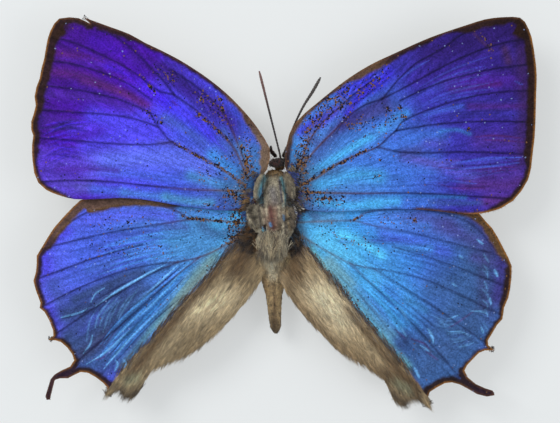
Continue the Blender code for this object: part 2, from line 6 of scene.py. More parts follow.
# %% Load the frame
import math
import bpy
import numpy as np
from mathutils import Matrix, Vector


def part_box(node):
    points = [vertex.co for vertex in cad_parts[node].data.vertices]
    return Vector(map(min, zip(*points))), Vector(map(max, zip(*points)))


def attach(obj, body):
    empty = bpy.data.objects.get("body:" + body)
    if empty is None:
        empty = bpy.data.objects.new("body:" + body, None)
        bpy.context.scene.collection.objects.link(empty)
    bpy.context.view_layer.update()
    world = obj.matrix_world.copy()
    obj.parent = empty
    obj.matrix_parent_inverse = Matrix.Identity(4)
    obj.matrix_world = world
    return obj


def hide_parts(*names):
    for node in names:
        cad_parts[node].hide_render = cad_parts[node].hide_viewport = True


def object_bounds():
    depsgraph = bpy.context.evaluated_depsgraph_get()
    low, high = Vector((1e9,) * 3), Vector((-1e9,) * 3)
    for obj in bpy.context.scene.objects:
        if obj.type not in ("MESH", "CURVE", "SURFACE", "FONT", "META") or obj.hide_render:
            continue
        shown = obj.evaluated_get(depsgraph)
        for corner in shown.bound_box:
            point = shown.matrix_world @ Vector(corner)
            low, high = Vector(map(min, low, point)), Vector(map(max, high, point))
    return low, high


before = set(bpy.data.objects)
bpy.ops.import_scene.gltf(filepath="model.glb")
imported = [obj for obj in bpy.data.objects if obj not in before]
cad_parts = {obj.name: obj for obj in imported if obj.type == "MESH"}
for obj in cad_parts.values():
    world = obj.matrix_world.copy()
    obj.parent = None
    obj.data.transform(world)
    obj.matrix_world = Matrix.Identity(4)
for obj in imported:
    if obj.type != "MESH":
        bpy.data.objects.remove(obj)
CAD_BOX = [list(corner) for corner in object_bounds()]
MM = 0.001
print("nodes to dress:", len(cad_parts))

# %% [markdown]
# The camera looks straight down, as a collector does at a drawer. It stands far enough away
# for the wings to look flat, and the frame is 67 mm wide at the level of the wings.

# %% Camera
LOOK_AT = (0.6, -0.78)
WING_PLANE = 5.5
LENS = 85.0
FRAME_WIDTH = 67.2
SENSOR_WIDTH = 36.0
STAND_OFF = FRAME_WIDTH * LENS / SENSOR_WIDTH

bpy.ops.object.camera_add(
    location=(LOOK_AT[0] * MM, LOOK_AT[1] * MM, (WING_PLANE + STAND_OFF) * MM), rotation=(0, 0, 0)
)
camera = bpy.context.object
camera.name = "camera"
camera.data.lens = LENS
camera.data.sensor_width = SENSOR_WIDTH
camera.data.clip_start = 0.005
camera.data.clip_end = 5.0
bpy.context.scene.camera = camera
bpy.context.scene.view_settings.view_transform = "Standard"
print("camera stands off", round(STAND_OFF, 1), "mm")

# %% [markdown]
# A few helpers do what every later cell needs: pick one object, copy a CAD solid, apply a
# modifier, and read or write a mesh's corners as one array in millimetres.

# %% Helpers for picking and joining
MERGE_GAP = 1e-7


def only(piece):
    """Selects this piece alone and makes it the active one."""
    bpy.ops.object.select_all(action="DESELECT")
    piece.select_set(True)
    bpy.context.view_layer.objects.active = piece


def new_piece(name, data):
    """A new object with this data, selected alone."""
    piece = bpy.data.objects.new(name, data)
    bpy.context.scene.collection.objects.link(piece)
    only(piece)
    return piece


def merged_copy(node, name):
    """A new object with a CAD node's shape, its loose triangles joined at their corners."""
    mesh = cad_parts[node].data.copy()
    mesh.name = name
    mesh.materials.clear()
    piece = new_piece(name, mesh)
    bpy.ops.object.mode_set(mode="EDIT")
    bpy.ops.mesh.select_all(action="SELECT")
    bpy.ops.mesh.remove_doubles(threshold=MERGE_GAP)
    bpy.ops.object.mode_set(mode="OBJECT")
    return piece


def add_modifier(piece, kind, **settings):
    """Adds a modifier with these settings and applies it at once."""
    modifier = piece.modifiers.new(kind.lower(), kind)
    for key, value in settings.items():
        setattr(modifier, key, value)
    only(piece)
    bpy.ops.object.modifier_apply(modifier=modifier.name)


def places_of(mesh):
    """The corners of a mesh in millimetres."""
    numbers = np.empty(len(mesh.vertices) * 3)
    mesh.vertices.foreach_get("co", numbers)
    return numbers.reshape(-1, 3) / MM


def set_places(mesh, places):
    """Moves the corners of a mesh to these places in millimetres."""
    mesh.vertices.foreach_set("co", (places * MM).ravel())
    mesh.update()


def store(mesh, name, values):
    """Keeps one number, or one colour, for each corner of a mesh."""
    if values.ndim == 1:
        mesh.attributes.new(name, "FLOAT", "POINT").data.foreach_set("value", values)
        return
    rgba = np.ones((len(values), 4))
    rgba[:, :3] = values
    mesh.attributes.new(name, "FLOAT_COLOR", "POINT").data.foreach_set("color", rgba.ravel())


print("helpers ready")

# %% [markdown]
# The floor is a pale card with no texture of its own. It glows a little, so that the specimen
# casts only a faint shadow, as over a light box. One large soft lamp stands up left, a weaker
# one to the right, and the pale sky does the rest.

# %% Floor and lamps
FLOOR_SIZE = 4.0
FLOOR_DROP = 0.2
CARD_COLOUR = (0.42, 0.43, 0.43, 1.0)
CARD_GLOW = (0.78, 0.805, 0.805, 1.0)
SKY_COLOUR = (0.93, 0.96, 1.0, 1.0)

bpy.ops.object.select_all(action="DESELECT")
bpy.ops.mesh.primitive_plane_add(size=FLOOR_SIZE, location=(0, 0, CAD_BOX[0][2] - FLOOR_DROP * MM))
floor = bpy.context.object
floor.name = "floor"
card = bpy.data.materials.new("card")
card.use_nodes = True
card_shader = card.node_tree.nodes["Principled BSDF"]
card_shader.inputs["Base Color"].default_value = CARD_COLOUR
card_shader.inputs["Roughness"].default_value = 0.9
card_shader.inputs["Specular IOR Level"].default_value = 0.1
card_shader.inputs["Emission Color"].default_value = CARD_GLOW
card_shader.inputs["Emission Strength"].default_value = 0.5
floor.data.materials.append(card)


def lamp(name, place, size, watts):
    """A square soft lamp that points at the middle of the specimen."""
    bpy.ops.object.light_add(type="AREA", location=[c * MM for c in place])
    light = bpy.context.object
    light.name = name
    light.data.size = size * MM
    light.data.energy = watts
    reach = math.hypot(place[0], place[1])
    light.rotation_euler = (math.atan2(reach, place[2]), 0, math.atan2(place[0], -place[1]))


lamp("key_lamp", (-190, 150, 260), 170, 0.55)
lamp("fill_lamp", (240, -60, 220), 200, 0.22)
world = bpy.data.worlds.new("studio")
bpy.context.scene.world = world
world.use_nodes = True
sky = world.node_tree.nodes["Background"]
sky.inputs["Color"].default_value = SKY_COLOUR
sky.inputs["Strength"].default_value = 0.62
print("floor at", round(CAD_BOX[0][2] / MM, 2), "mm")

# %% [markdown]
# The blues of the wings are not dyes. Each scale is a grating, so its colour depends on how it
# lies, and it drifts from sky blue at the root to violet at the tip in soft bands between the
# veins. A maker would airbrush that: wide soft strokes first, then thin ones for the folds,
# whose bright and dark lines are painted highlight and painted shade. The palette below is what
# goes into the airbrush.

# %% Palette and airbrush
def colour(red, green, blue):
    """A screen colour, 0 to 255, as the linear light that shaders work in."""
    shares = [c / 255.0 for c in (red, green, blue)]
    return tuple(c / 12.92 if c < 0.04045 else ((c + 0.055) / 1.055) ** 2.4 for c in shares)


VIOLET = colour(74, 22, 180)
VIOLET_DEEP = colour(64, 18, 136)
BLUE_VIOLET = colour(84, 74, 240)
PURPLE = colour(92, 68, 206)
PURPLE_DEEP = colour(74, 50, 148)
PURPLE_BRIGHT = colour(80, 72, 222)
PERIWINKLE = colour(86, 98, 228)
PERIWINKLE_DULL = colour(82, 108, 200)
PLUM = colour(84, 32, 120)
PLUM_BLUE = colour(78, 40, 160)
RED_PLUM = colour(94, 40, 124)
WINE = colour(84, 34, 92)
MAGENTA = colour(92, 52, 136)
MAUVE = colour(96, 84, 176)
INDIGO = colour(60, 42, 152)
INDIGO_DEEP = colour(46, 28, 104)
BLUE_INDIGO = colour(60, 56, 172)
NIGHT = colour(44, 22, 40)
NIGHT_BLUE = colour(30, 34, 84)
ELECTRIC = colour(74, 42, 236)
ELECTRIC_BLUE = colour(66, 52, 228)
BLUE = colour(66, 84, 216)
DULL_BLUE = colour(72, 94, 196)
DARK_BLUE = colour(60, 84, 162)
DARK_AZURE = colour(54, 108, 186)
CORNFLOWER = colour(76, 104, 224)
CORNFLOWER_DEEP = colour(68, 116, 216)
CORNFLOWER_SKY = colour(78, 134, 214)
AZURE = colour(66, 144, 224)
TEAL_BLUE = colour(76, 142, 204)
TEAL = colour(80, 148, 196)
SKY = colour(78, 176, 240)
SKY_PALE = colour(92, 164, 228)
SKY_BRIGHT = colour(120, 190, 250)
TEAL_GREY = colour(100, 156, 178)
SEA_GREY = colour(124, 148, 142)
AQUA = colour(108, 176, 190)
SLATE = colour(56, 76, 126)
SLATE_BLUE = colour(66, 98, 160)
SLATE_VIOLET = colour(64, 82, 146)
STEEL = colour(62, 98, 156)
STEEL_DARK = colour(60, 88, 138)
BROWN_HAZE = colour(76, 46, 62)
VEIN_DARK = colour(20, 14, 52)
CORNFLOWER_PALE = colour(98, 116, 238)
LAVENDER = colour(94, 90, 196)
DUSK = colour(62, 38, 84)
DUSK_BLUE = colour(72, 68, 140)
ROOT_GREY = colour(70, 86, 104)
SILK_PALE = colour(214, 196, 160)
BARK = colour(42, 26, 16)
BARK_LIGHT = colour(92, 68, 36)
TAN = colour(118, 96, 72)
RUST = colour(150, 100, 44)
BEIGE = colour(166, 146, 112)
BEIGE_PALE = colour(178, 156, 120)
EARTH = colour(104, 78, 48)
LICHEN = colour(176, 184, 152)


SPRAY_REACH = 2.6


def smooth_line(points, steps=6):
    """A line of points drawn through the given ones without corners."""
    given = np.array(points, float)
    if len(given) < 3:
        return given
    ends = np.vstack([2 * given[0] - given[1], given, 2 * given[-1] - given[-2]])
    share = np.linspace(0, 1, steps, endpoint=False)[:, None]
    parts = []
    for a, b, c, d in zip(ends, ends[1:], ends[2:], ends[3:]):
        bend = (2 * a - 5 * b + 4 * c - d) * share**2 + (3 * b - a - 3 * c + d) * share**3
        parts.append(b + 0.5 * ((c - a) * share + bend))
    return np.vstack(parts + [given[-1:]])


def distance_to(places, line):
    """How far each place is from a line of points, in the plane of the wings."""
    if len(line) == 1:
        return np.hypot(places[:, 0] - line[0][0], places[:, 1] - line[0][1])
    nearest = np.full(len(places), 1e9)
    for a, b in zip(line, line[1:]):
        run = b - a
        share = np.clip(((places[:, :2] - a) @ run) / max(run @ run, 1e-12), 0, 1)
        gap = places[:, :2] - a - share[:, None] * run
        nearest = np.minimum(nearest, np.hypot(gap[:, 0], gap[:, 1]))
    return nearest


def spray(canvas, places, value, radius, strength, points, taper=0.0):
    """One soft stroke of a colour or a number along a line, as an airbrush lays it."""
    line = smooth_line(points)
    low = line.min(axis=0) - SPRAY_REACH * radius
    high = line.max(axis=0) + SPRAY_REACH * radius
    near = np.all((places[:, :2] > low) & (places[:, :2] < high), axis=1)
    width = radius
    run = line[-1] - line[0]
    if taper and run @ run > 0:
        share = np.clip(((places[near, :2] - line[0]) @ run) / (run @ run), 0, 1)
        width = radius * (1 - taper * (2 * share - 1) ** 2)
    cover = strength * np.exp(-((distance_to(places[near], line) / width) ** 2))
    if canvas.ndim == 1:
        canvas[near] += (value - canvas[near]) * cover
        return
    canvas[near] += (np.array(value) - canvas[near]) * cover[:, None]


def ramp(distances, stops):
    """Colours that drift along a list of (distance, colour) stops."""
    marks = [stop[0] for stop in stops]
    channels = [[stop[1][c] for stop in stops] for c in range(3)]
    return np.stack([np.interp(distances, marks, channel) for channel in channels], axis=1)


print("palette and airbrush ready")

# %% [markdown]
# Seen closely, a wing is tiled with scales about a tenth of a millimetre long. The paint tells
# each place its mean colour, and the shader breaks that into cells: every scale is painted a
# little lighter or darker, as if it caught the light its own way, a few are lost and show the
# brown skin, and a few carry a painted glint. Fine wrinkles fan out from the root, so a second
# noise, drawn out along the wing, paints streaks of sheen along them. The shine is partly
# metallic, because a grating reflects more than it scatters.

# %% Shader helpers
def is_socket(source):
    """True for the output of a node, False for a plain number or colour."""
    return isinstance(source, bpy.types.NodeSocket)


def wire(node, sources):
    """Gives inputs of a node their values, or links them to outputs of other nodes."""
    for socket, source in sources.items():
        if is_socket(source):
            node.id_data.links.new(source, node.inputs[socket])
        else:
            node.inputs[socket].default_value = source


def new_material(name):
    """A material, its shader, a helper that adds wired nodes to it, and the place on a piece."""
    material = bpy.data.materials.new(name)
    material.use_nodes = True
    tree = material.node_tree

    def add(kind, sources=(), **settings):
        node = tree.nodes.new(kind)
        for key, value in settings.items():
            setattr(node, key, value)
        wire(node, dict(sources))
        return node

    place = add("ShaderNodeTexCoord").outputs["Object"]
    return material, tree.nodes["Principled BSDF"], add, place


def mixed(add, share, first, second, blend="MIX"):
    """A colour mix of two colours or sockets by a share."""
    first, second = (c if is_socket(c) else (*c, 1.0) for c in (first, second))
    node = add("ShaderNodeMix", data_type="RGBA", blend_type=blend)
    wire(node, {0: share, 6: first, 7: second})
    return node.outputs[2]


def counted(add, operation, first, second=0.0, third=0.0):
    """One Math node on numbers or sockets."""
    node = add("ShaderNodeMath", {0: first, 1: second, 2: third}, operation=operation)
    return node.outputs[0]


def shaded(add, paint, light):
    """A colour made lighter or darker by a number."""
    grey = add("ShaderNodeCombineColor", {0: light, 1: light, 2: light}).outputs[0]
    return mixed(add, 1.0, paint, grey, "MULTIPLY")


def noise(add, place, size, detail):
    """A cloudy noise whose blotches have about this size in millimetres."""
    return add("ShaderNodeTexNoise", {"Vector": place, "Scale": 1000.0 / size, "Detail": detail})


def bumped(add, strength, depth, height):
    """Small relief in the shading, of this depth in millimetres."""
    sources = {"Strength": strength, "Distance": depth * MM, "Height": height}
    return add("ShaderNodeBump", sources).outputs[0]


print("shader helpers ready")

# %% Scale material
SCALE_SIZE = 0.15
MOTTLE_SIZE = 0.9
CLUMP_SIZE = 0.6


def scale_material(name, metallic, roughness, loss_brown, loss_black):
    """Scales in the paint's colour, with lost ones where the wing is worn."""
    material, shader, add, place = new_material(name)
    paint = add("ShaderNodeAttribute", attribute_name="paint").outputs["Color"]
    worn = add("ShaderNodeAttribute", attribute_name="worn").outputs["Fac"]
    cells = add(
        "ShaderNodeTexVoronoi", {"Vector": place, "Scale": 1000.0 / SCALE_SIZE, "Randomness": 0.9}
    )
    chance = add("ShaderNodeSeparateColor", {0: cells.outputs["Color"]})
    mottle = noise(add, place, MOTTLE_SIZE, 4.0)
    # Painted light: each scale is made lighter or darker in turn, with streaks of painted sheen along the
    # wrinkles.
    each = counted(add, "MULTIPLY_ADD", chance.outputs[0], 0.6, 0.7)
    cloud = counted(add, "MULTIPLY_ADD", mottle.outputs[0], 0.5, 0.75)
    fan = add("ShaderNodeAttribute", attribute_name="fan").outputs["Vector"]
    creases = add("ShaderNodeTexNoise", {"Vector": fan, "Scale": 1.0, "Detail": 3.0})
    crease_sheen = counted(add, "MULTIPLY_ADD", creases.outputs[0], 1.3, 0.35)
    light = counted(add, "MULTIPLY", counted(add, "MULTIPLY", each, cloud), crease_sheen)
    scales = shaded(add, paint, light)
    # Painted glints: a few scales get a pale blue highlight mixed into their colour.
    painted_glint = counted(add, "GREATER_THAN", chance.outputs[1], 0.998)
    scales = mixed(add, counted(add, "MULTIPLY", painted_glint, 0.4), scales, colour(168, 190, 245))
    dark_kind = counted(add, "GREATER_THAN", chance.outputs[2], 0.4)
    bare_skin = mixed(add, dark_kind, loss_brown, loss_black)
    clumps = noise(add, place, CLUMP_SIZE, 2.0)
    crowd = counted(add, "MULTIPLY_ADD", clumps.outputs[0], 4.6, -1.5)
    crowd = counted(add, "MINIMUM", counted(add, "MAXIMUM", crowd, 0.12), 2.2)
    lost_share = counted(add, "MULTIPLY_ADD", worn, crowd, 0.004)
    lost = counted(add, "LESS_THAN", chance.outputs[1], lost_share)
    wire(shader, {
        "Base Color": mixed(add, lost, scales, bare_skin),
        "Roughness": counted(add, "MULTIPLY_ADD", chance.outputs[2], 0.3, roughness - 0.15),
        "Specular IOR Level": 0.12,
        "Metallic": counted(add, "MULTIPLY", counted(add, "SUBTRACT", 1.0, lost), metallic),
        "Normal": bumped(add, 0.5, 0.02, chance.outputs[0]),
    })
    return material


forewing_scales = scale_material(
    "forewing_paint", 0.35, 0.45, colour(116, 82, 50), colour(20, 18, 32)
)
hindwing_scales = scale_material(
    "hindwing_paint", 0.32, 0.47, colour(108, 76, 44), colour(18, 20, 34)
)
underside_scales = scale_material(
    "underside_paint", 0.0, 0.7, colour(70, 48, 34), colour(48, 34, 26)
)
print("scale materials:", forewing_scales.name, hindwing_scales.name, underside_scales.name)

# %% [markdown]
# A wing is a skin a few hundredths of a millimetre thick, stretched over a fan of veins. The
# CAD solid has its outline, so the sheet starts as a fine grid that is given a thickness and
# cut out with that outline as a pastry is with a cutter. Then it is lifted towards the tip,
# and its corners rise over the veins and sink in the folds.

# %% The wing cutter
FOREWING_ROOT = 5.0
HINDWING_ROOT = 4.4
TIP_RISE = 1.0
HALF_SPAN = 30.0
GRID_STEP = 0.13
SKIN = 0.09
CUTTER_REACH = 3.0


def wing_lift(places):
    """How far the set wings rise from the root towards the tip."""
    share = np.abs(places[:, 0]) / HALF_SPAN
    return TIP_RISE * (2 * share - share**2)


def cut_sheet(node, name, root_level):
    """A thin flat sheet with the outline of a CAD wing, and that outline as short lines."""
    cutter = merged_copy(node, name + "_cutter")
    places = places_of(cutter.data)
    upper = places[:, 2] > root_level + wing_lift(places)
    outline = []
    for face in cutter.data.polygons:
        rim = [places[i, :2] for i in face.vertices if upper[i]]
        if abs(face.normal.z) < 0.1 and len(rim) == 2:
            outline.append((rim[0], rim[1], np.array(face.normal[:2])))
    places[:, 2] = np.where(upper, CUTTER_REACH, -CUTTER_REACH)
    set_places(cutter.data, places)
    low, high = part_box(node)
    width = (high[0] - low[0]) / MM + 0.5
    height = (high[1] - low[1]) / MM + 0.5
    bpy.ops.object.select_all(action="DESELECT")
    bpy.ops.mesh.primitive_grid_add(
        x_subdivisions=int(width / GRID_STEP),
        y_subdivisions=int(height / GRID_STEP),
        size=1,
        location=((low[0] + high[0]) / 2, (low[1] + high[1]) / 2, 0),
    )
    sheet = bpy.context.object
    sheet.name = name
    sheet.data.name = name
    sheet.scale = (width * MM, height * MM, 1)
    bpy.ops.object.transform_apply(location=True, rotation=True, scale=True)
    add_modifier(sheet, "SOLIDIFY", thickness=SKIN * MM, offset=0)
    add_modifier(sheet, "BOOLEAN", operation="INTERSECT", solver="MANIFOLD", object=cutter)
    bpy.data.objects.remove(cutter)
    sheet.data.materials.clear()
    print(name, "corners:", len(sheet.data.vertices), "outline lines:", len(outline))
    return sheet, outline


def edge_gap(places, outline):
    """How far each place is from the outline of its wing, and the nearest place on it."""
    nearest = np.full(len(places), 1e9)
    feet = np.zeros((len(places), 2))
    for a, b, outward in outline:
        run = b - a
        share = np.clip(((places[:, :2] - a) @ run) / max(run @ run, 1e-12), 0, 1)
        foot = a + share[:, None] * run
        gap = np.hypot(places[:, 0] - foot[:, 0], places[:, 1] - foot[:, 1])
        closer = gap < nearest
        nearest[closer] = gap[closer]
        feet[closer] = foot[closer]
    return nearest, feet


# %% [markdown]
# Painting a wing goes in a fixed order: the ground that drifts from root to tip, the soft
# strokes, the thin folds with their painted highlights and painted shade, the dark border with
# its rusty rim, which is partly painted glow of light shining through the thin edge, and the
# veins on top of all. The same strokes also press the sheet: a vein stands up, a dark fold
# sinks, a bright one rises, so the light also falls on a real relief.

# %% Paint and relief of a wing
VEIN_RADIUS = 0.13
VEIN_RISE = 0.05
FOLD_RISE = 0.035
RIM = 0.22
BORDER_WIDTH = 0.3
FAN_STEP = 0.022
FAN_LENGTH = 3.5


def side_of(places, line):
    """True for places on the right of a line of points, seen along it."""
    line = np.array(line, float)
    nearest = np.full(len(places), 1e9)
    right = np.zeros(len(places), bool)
    for a, b in zip(line, line[1:]):
        run = b - a
        gap = distance_to(places, [a, b])
        cross = run[0] * (places[:, 1] - a[1]) - run[1] * (places[:, 0] - a[0])
        closer = gap < nearest
        right[closer] = cross[closer] < 0
        nearest[closer] = gap[closer]
    return right


def ripple(places, size, seed):
    """A smooth wavy number between -1 and 1, about this size in millimetres."""
    x = places[:, 0] / size + seed
    y = places[:, 1] / size - seed
    waves = np.sin(2.1 * x + 1.3 * np.sin(1.7 * y)) + np.sin(2.6 * y + 1.1 * np.sin(1.9 * x))
    return waves / 2


def wrinkles(seed, value, radius, strength, count, first, last):
    """A family of thin folds, painted as lines of highlight when bright and of shade when dark, that
    turns from one line into another.
    """
    rng = np.random.default_rng(seed)
    first = np.array(first)
    last = np.array(last)
    family = []
    for share in (np.arange(count) + rng.uniform(0.1, 0.9, count)) / count:
        line = first + (last - first) * share
        line[0] += (line[1] - line[0]) * rng.uniform(0, 0.6)
        line[-1] += (line[-2] - line[-1]) * rng.uniform(0, 0.5)
        line += rng.normal(0, 0.07, line.shape)
        family.append((value, radius * rng.uniform(0.7, 1.2), strength * rng.uniform(0.6, 1.1), line))
    return family


def upper_paint(wing, places):
    """The paint of the upper side at these places, and how far the edge is."""
    away = np.hypot(places[:, 0] - wing["root"][0], places[:, 1] - wing["root"][1])
    paint = ramp(away, wing["ground"])
    for stroke in wing["strokes"]:
        spray(paint, places, *stroke)
    # Painted highlights and painted shade along the folds.
    for stroke in wing["folds"]:
        spray(paint, places, *stroke, taper=0.9)
    for vein in wing["veins"]:
        gap = distance_to(places, smooth_line(vein))
        cover = wing["vein_cover"] * np.exp(-((gap / VEIN_RADIUS) ** 2))[:, None]
        tone = ramp(away, [(3.0, EARTH), (8.0, BROWN_HAZE), (13.0, VEIN_DARK)])
        paint += (tone - paint) * cover
    if wing["field"]:
        field = wing["field"]
        inside = side_of(places, field["line"]) != field["left"]
        silk = np.tile(field["ground"], (len(places), 1))
        for stroke in field["strokes"]:
            spray(silk, places, *stroke)
        paint[inside] = silk[inside]
        spray(paint, places, EARTH, 0.16, 0.6, field["line"][1:-1])
    edge, feet = edge_gap(places, wing["outline"])
    width = np.full(len(places), BORDER_WIDTH)
    tone = np.tile(BARK, (len(places), 1))
    for value, radius, points in wing["borders"]:
        spray(width, feet, value, radius, 1.0, points)
    for value, radius, points in wing["border_tones"]:
        spray(tone, feet, value, radius, 1.0, points)
    width += np.where(width > 0.2, 0.08, 0.0) * ripple(places, 0.5, 0.3)
    cover = np.clip((width - edge) / 0.35 + 0.5, 0, 1)
    paint += (tone - paint) * (0.96 * cover)[:, None]
    # Painted glow: a rusty rim along the margin, partly standing for light shining through the thin edge.
    edge_glow = np.full(len(places), 0.2)
    spray(edge_glow, feet, 0.85, 1.8, 1.0, wing["margin"])
    rim = np.clip(1.3 - edge / RIM, 0, 1) * edge_glow * (width > 0.2)
    paint += (np.array(RUST) - paint) * rim[:, None]
    return paint, edge


def lower_paint(wing, places):
    """A plain brown underside with a pale line and darker veins."""
    edge = edge_gap(places, wing["outline"])[0]
    paint = ramp(edge, UNDER_GROUND)
    for vein in wing["veins"]:
        spray(paint, places, EARTH, 0.16, 0.7, vein)
    return paint


def press(wing, places):
    """How much each place rises over a vein or a bright fold, and sinks in a dark one."""
    rise = 0.03 * ripple(places, 2.4, 1.7)
    for vein in wing["veins"]:
        gap = distance_to(places, smooth_line(vein))
        rise = np.maximum(rise, VEIN_RISE * np.exp(-((gap / 0.17) ** 2)))
    for value, radius, strength, points in wing["folds"]:
        if strength < 0.5:
            continue
        height = FOLD_RISE if sum(value) > 0.5 else -FOLD_RISE
        crease = np.zeros(len(places))
        spray(crease, places, height, radius * 1.3, 1.0, points, taper=0.75)
        rise += crease
    return rise


def new_wing(name, root, vein_cover):
    """What fore- and hindwings share. The cell of each wing adds its own lists."""
    fore = "forewing" in name
    return {
        "node": name,
        "name": name + "_sheet",
        "slot": "forewing_scales" if fore else "hindwing_scales",
        "scales": forewing_scales if fore else hindwing_scales,
        "level": FOREWING_ROOT if fore else HINDWING_ROOT,
        "root": root,
        "vein_cover": vein_cover,
        "field": None,
    }


def dress_wing(wing):
    """Cuts, lifts, presses and paints one wing, and lets it stand for its CAD solid."""
    for family in wing["wrinkles"]:
        wing["folds"] += wrinkles(*family)
    sheet, wing["outline"] = cut_sheet(wing["node"], wing["name"], wing["level"])
    mesh = sheet.data
    places = places_of(mesh)
    upper = places[:, 2] > 0
    paint = np.zeros((len(places), 3))
    worn = np.zeros(len(places))
    paint[upper], edge = upper_paint(wing, places[upper])
    paint[~upper] = lower_paint(wing, places[~upper])
    wear = np.zeros(len(edge))
    for radius, strength, points in wing["worn"]:
        spray(wear, places[upper], 1.0, radius, strength, points)
    worn[upper] = wear
    store(mesh, "paint", paint)
    store(mesh, "worn", worn)
    gap = places[:, :2] - wing["root"]
    turn = np.arctan2(gap[:, 1], np.abs(gap[:, 0]))
    away = np.hypot(gap[:, 0], gap[:, 1])
    store(mesh, "fan", np.column_stack([turn / FAN_STEP, away / FAN_LENGTH, np.zeros(len(places))]))
    places[:, 2] += wing["level"] + wing_lift(places)
    rise = press(wing, places)
    places[:, 2] += np.where(upper, rise, rise - 2 * np.maximum(rise, 0) * 0.8)
    set_places(mesh, places)
    mesh.materials.append(wing["scales"])
    mesh.materials.append(underside_scales)
    below = [0 if upper[face.vertices[0]] else 1 for face in mesh.polygons]
    mesh.polygons.foreach_set("material_index", below)
    only(sheet)
    bpy.ops.object.shade_smooth_by_angle(angle=math.radians(50))
    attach(sheet, "root")
    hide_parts(wing["node"])
    wing["sheet"] = sheet


UNDER_GROUND = [
    (0.0, RUST),
    (0.4, EARTH),
    (1.6, colour(126, 102, 80)),
    (3.4, colour(132, 108, 86)),
    (3.7, colour(206, 196, 182)),
    (4.0, colour(92, 70, 54)),
    (4.6, colour(132, 110, 88)),
    (12.0, colour(142, 122, 98)),
]
print("wing painter ready")

# %% [markdown]
# The left forewing is violet at its tip and sky blue at its root, with reddish veils between
# the middle veins, where the scales lie at another angle. Its front edge is a brown strip, and
# its inner edge runs over the hindwing without a border.

# %% Left forewing
left_forewing = new_wing("left_forewing", (-2.4, 1.6), 0.8)
left_forewing["ground"] = [
    (2, STEEL),
    (6, DULL_BLUE),
    (10, BLUE),
    (15, BLUE_VIOLET),
    (20, VIOLET),
    (27, VIOLET_DEEP),
]
left_forewing["borders"] = [
    (1.2, 1.6, [(-26.4, 21.8), (-28, 16.5), (-28.9, 12.5)]),
    (1.9, 1.3, [(-26.3, 21.6)]),
    (0.85, 1.6, [(-29.2, 9.5), (-29, 6.5)]),
    (0.55, 1.4, [(-28.9, 4.2), (-28.2, 2.6), (-26.6, 1.4)]),
    (0.75, 1.2, [(-24.5, 22.4), (-21.5, 21.9), (-17.4, 20.4)]),
    (0.45, 1.4, [(-15, 19.2), (-9.6, 16.2), (-5, 12.6)]),
    (0.85, 1.2, [(-2.8, 10.2), (-1.4, 8.2)]),
    (1.2, 1.2, [(-0.7, 6.6), (-0.8, 5)]),
    (0, 0.8, [(-24, 0.7), (-18, 0.8), (-12, 0), (-6, -0.7)]),
]
left_forewing["border_tones"] = [
    (BARK_LIGHT, 1.3, [(-5, 12.6), (-3.1, 10.5)]),
    (TAN, 1.7, [(-1.4, 8.2), (-0.6, 6.2), (-0.7, 4.8)]),
]
left_forewing["veins"] = [
    [(-3.25, 3.95), (-4.1, 6.35), (-5.15, 9), (-6.35, 11.15), (-8.15, 13.1), (-10.2, 14.75),
     (-12.6, 16.3)],
    [(-3.5, 3.5), (-4.2, 5.4), (-5.05, 6.95), (-6.35, 8.5), (-8.4, 10.45), (-10.2, 11.9), (-12.1, 13.2)],
    [(-12.1, 13.2), (-13.2, 14.65), (-15, 16.55), (-16.8, 18.35), (-18.85, 20), (-21.35, 21.05)],
    [(-12.1, 13.2), (-14.05, 13.75), (-15.85, 15.1), (-18, 16.55), (-21, 18.1), (-24, 19.4),
     (-26.75, 20.1)],
    [(-14.75, 12.6), (-17.4, 14.4), (-19.8, 15.5), (-22.8, 16.5), (-25.2, 17.05), (-27.1, 17.3)],
    [(-15, 11.05), (-16.45, 11.75), (-18.6, 12.6), (-21, 13.25), (-24, 13.85), (-27.7, 14.3)],
    [(-3.5, 2.3), (-5.05, 3.35), (-7.2, 4.8), (-9.95, 6.35), (-12.35, 7.55), (-13.7, 9), (-15, 11.05)],
    [(-14.05, 9.35), (-15.5, 9.9), (-17.65, 10.5), (-20.4, 10.85), (-24, 11.1), (-28.3, 11.4)],
    [(-12.35, 7.55), (-15, 7.25), (-18.6, 7.3), (-22.2, 7.55), (-25.8, 7.85), (-28.55, 8.05)],
    [(-3.25, 1.7), (-6.6, 1.75), (-10.8, 1.9), (-15, 2.3), (-19.2, 2.75), (-23.4, 2.95), (-27.85, 2.8)],
]
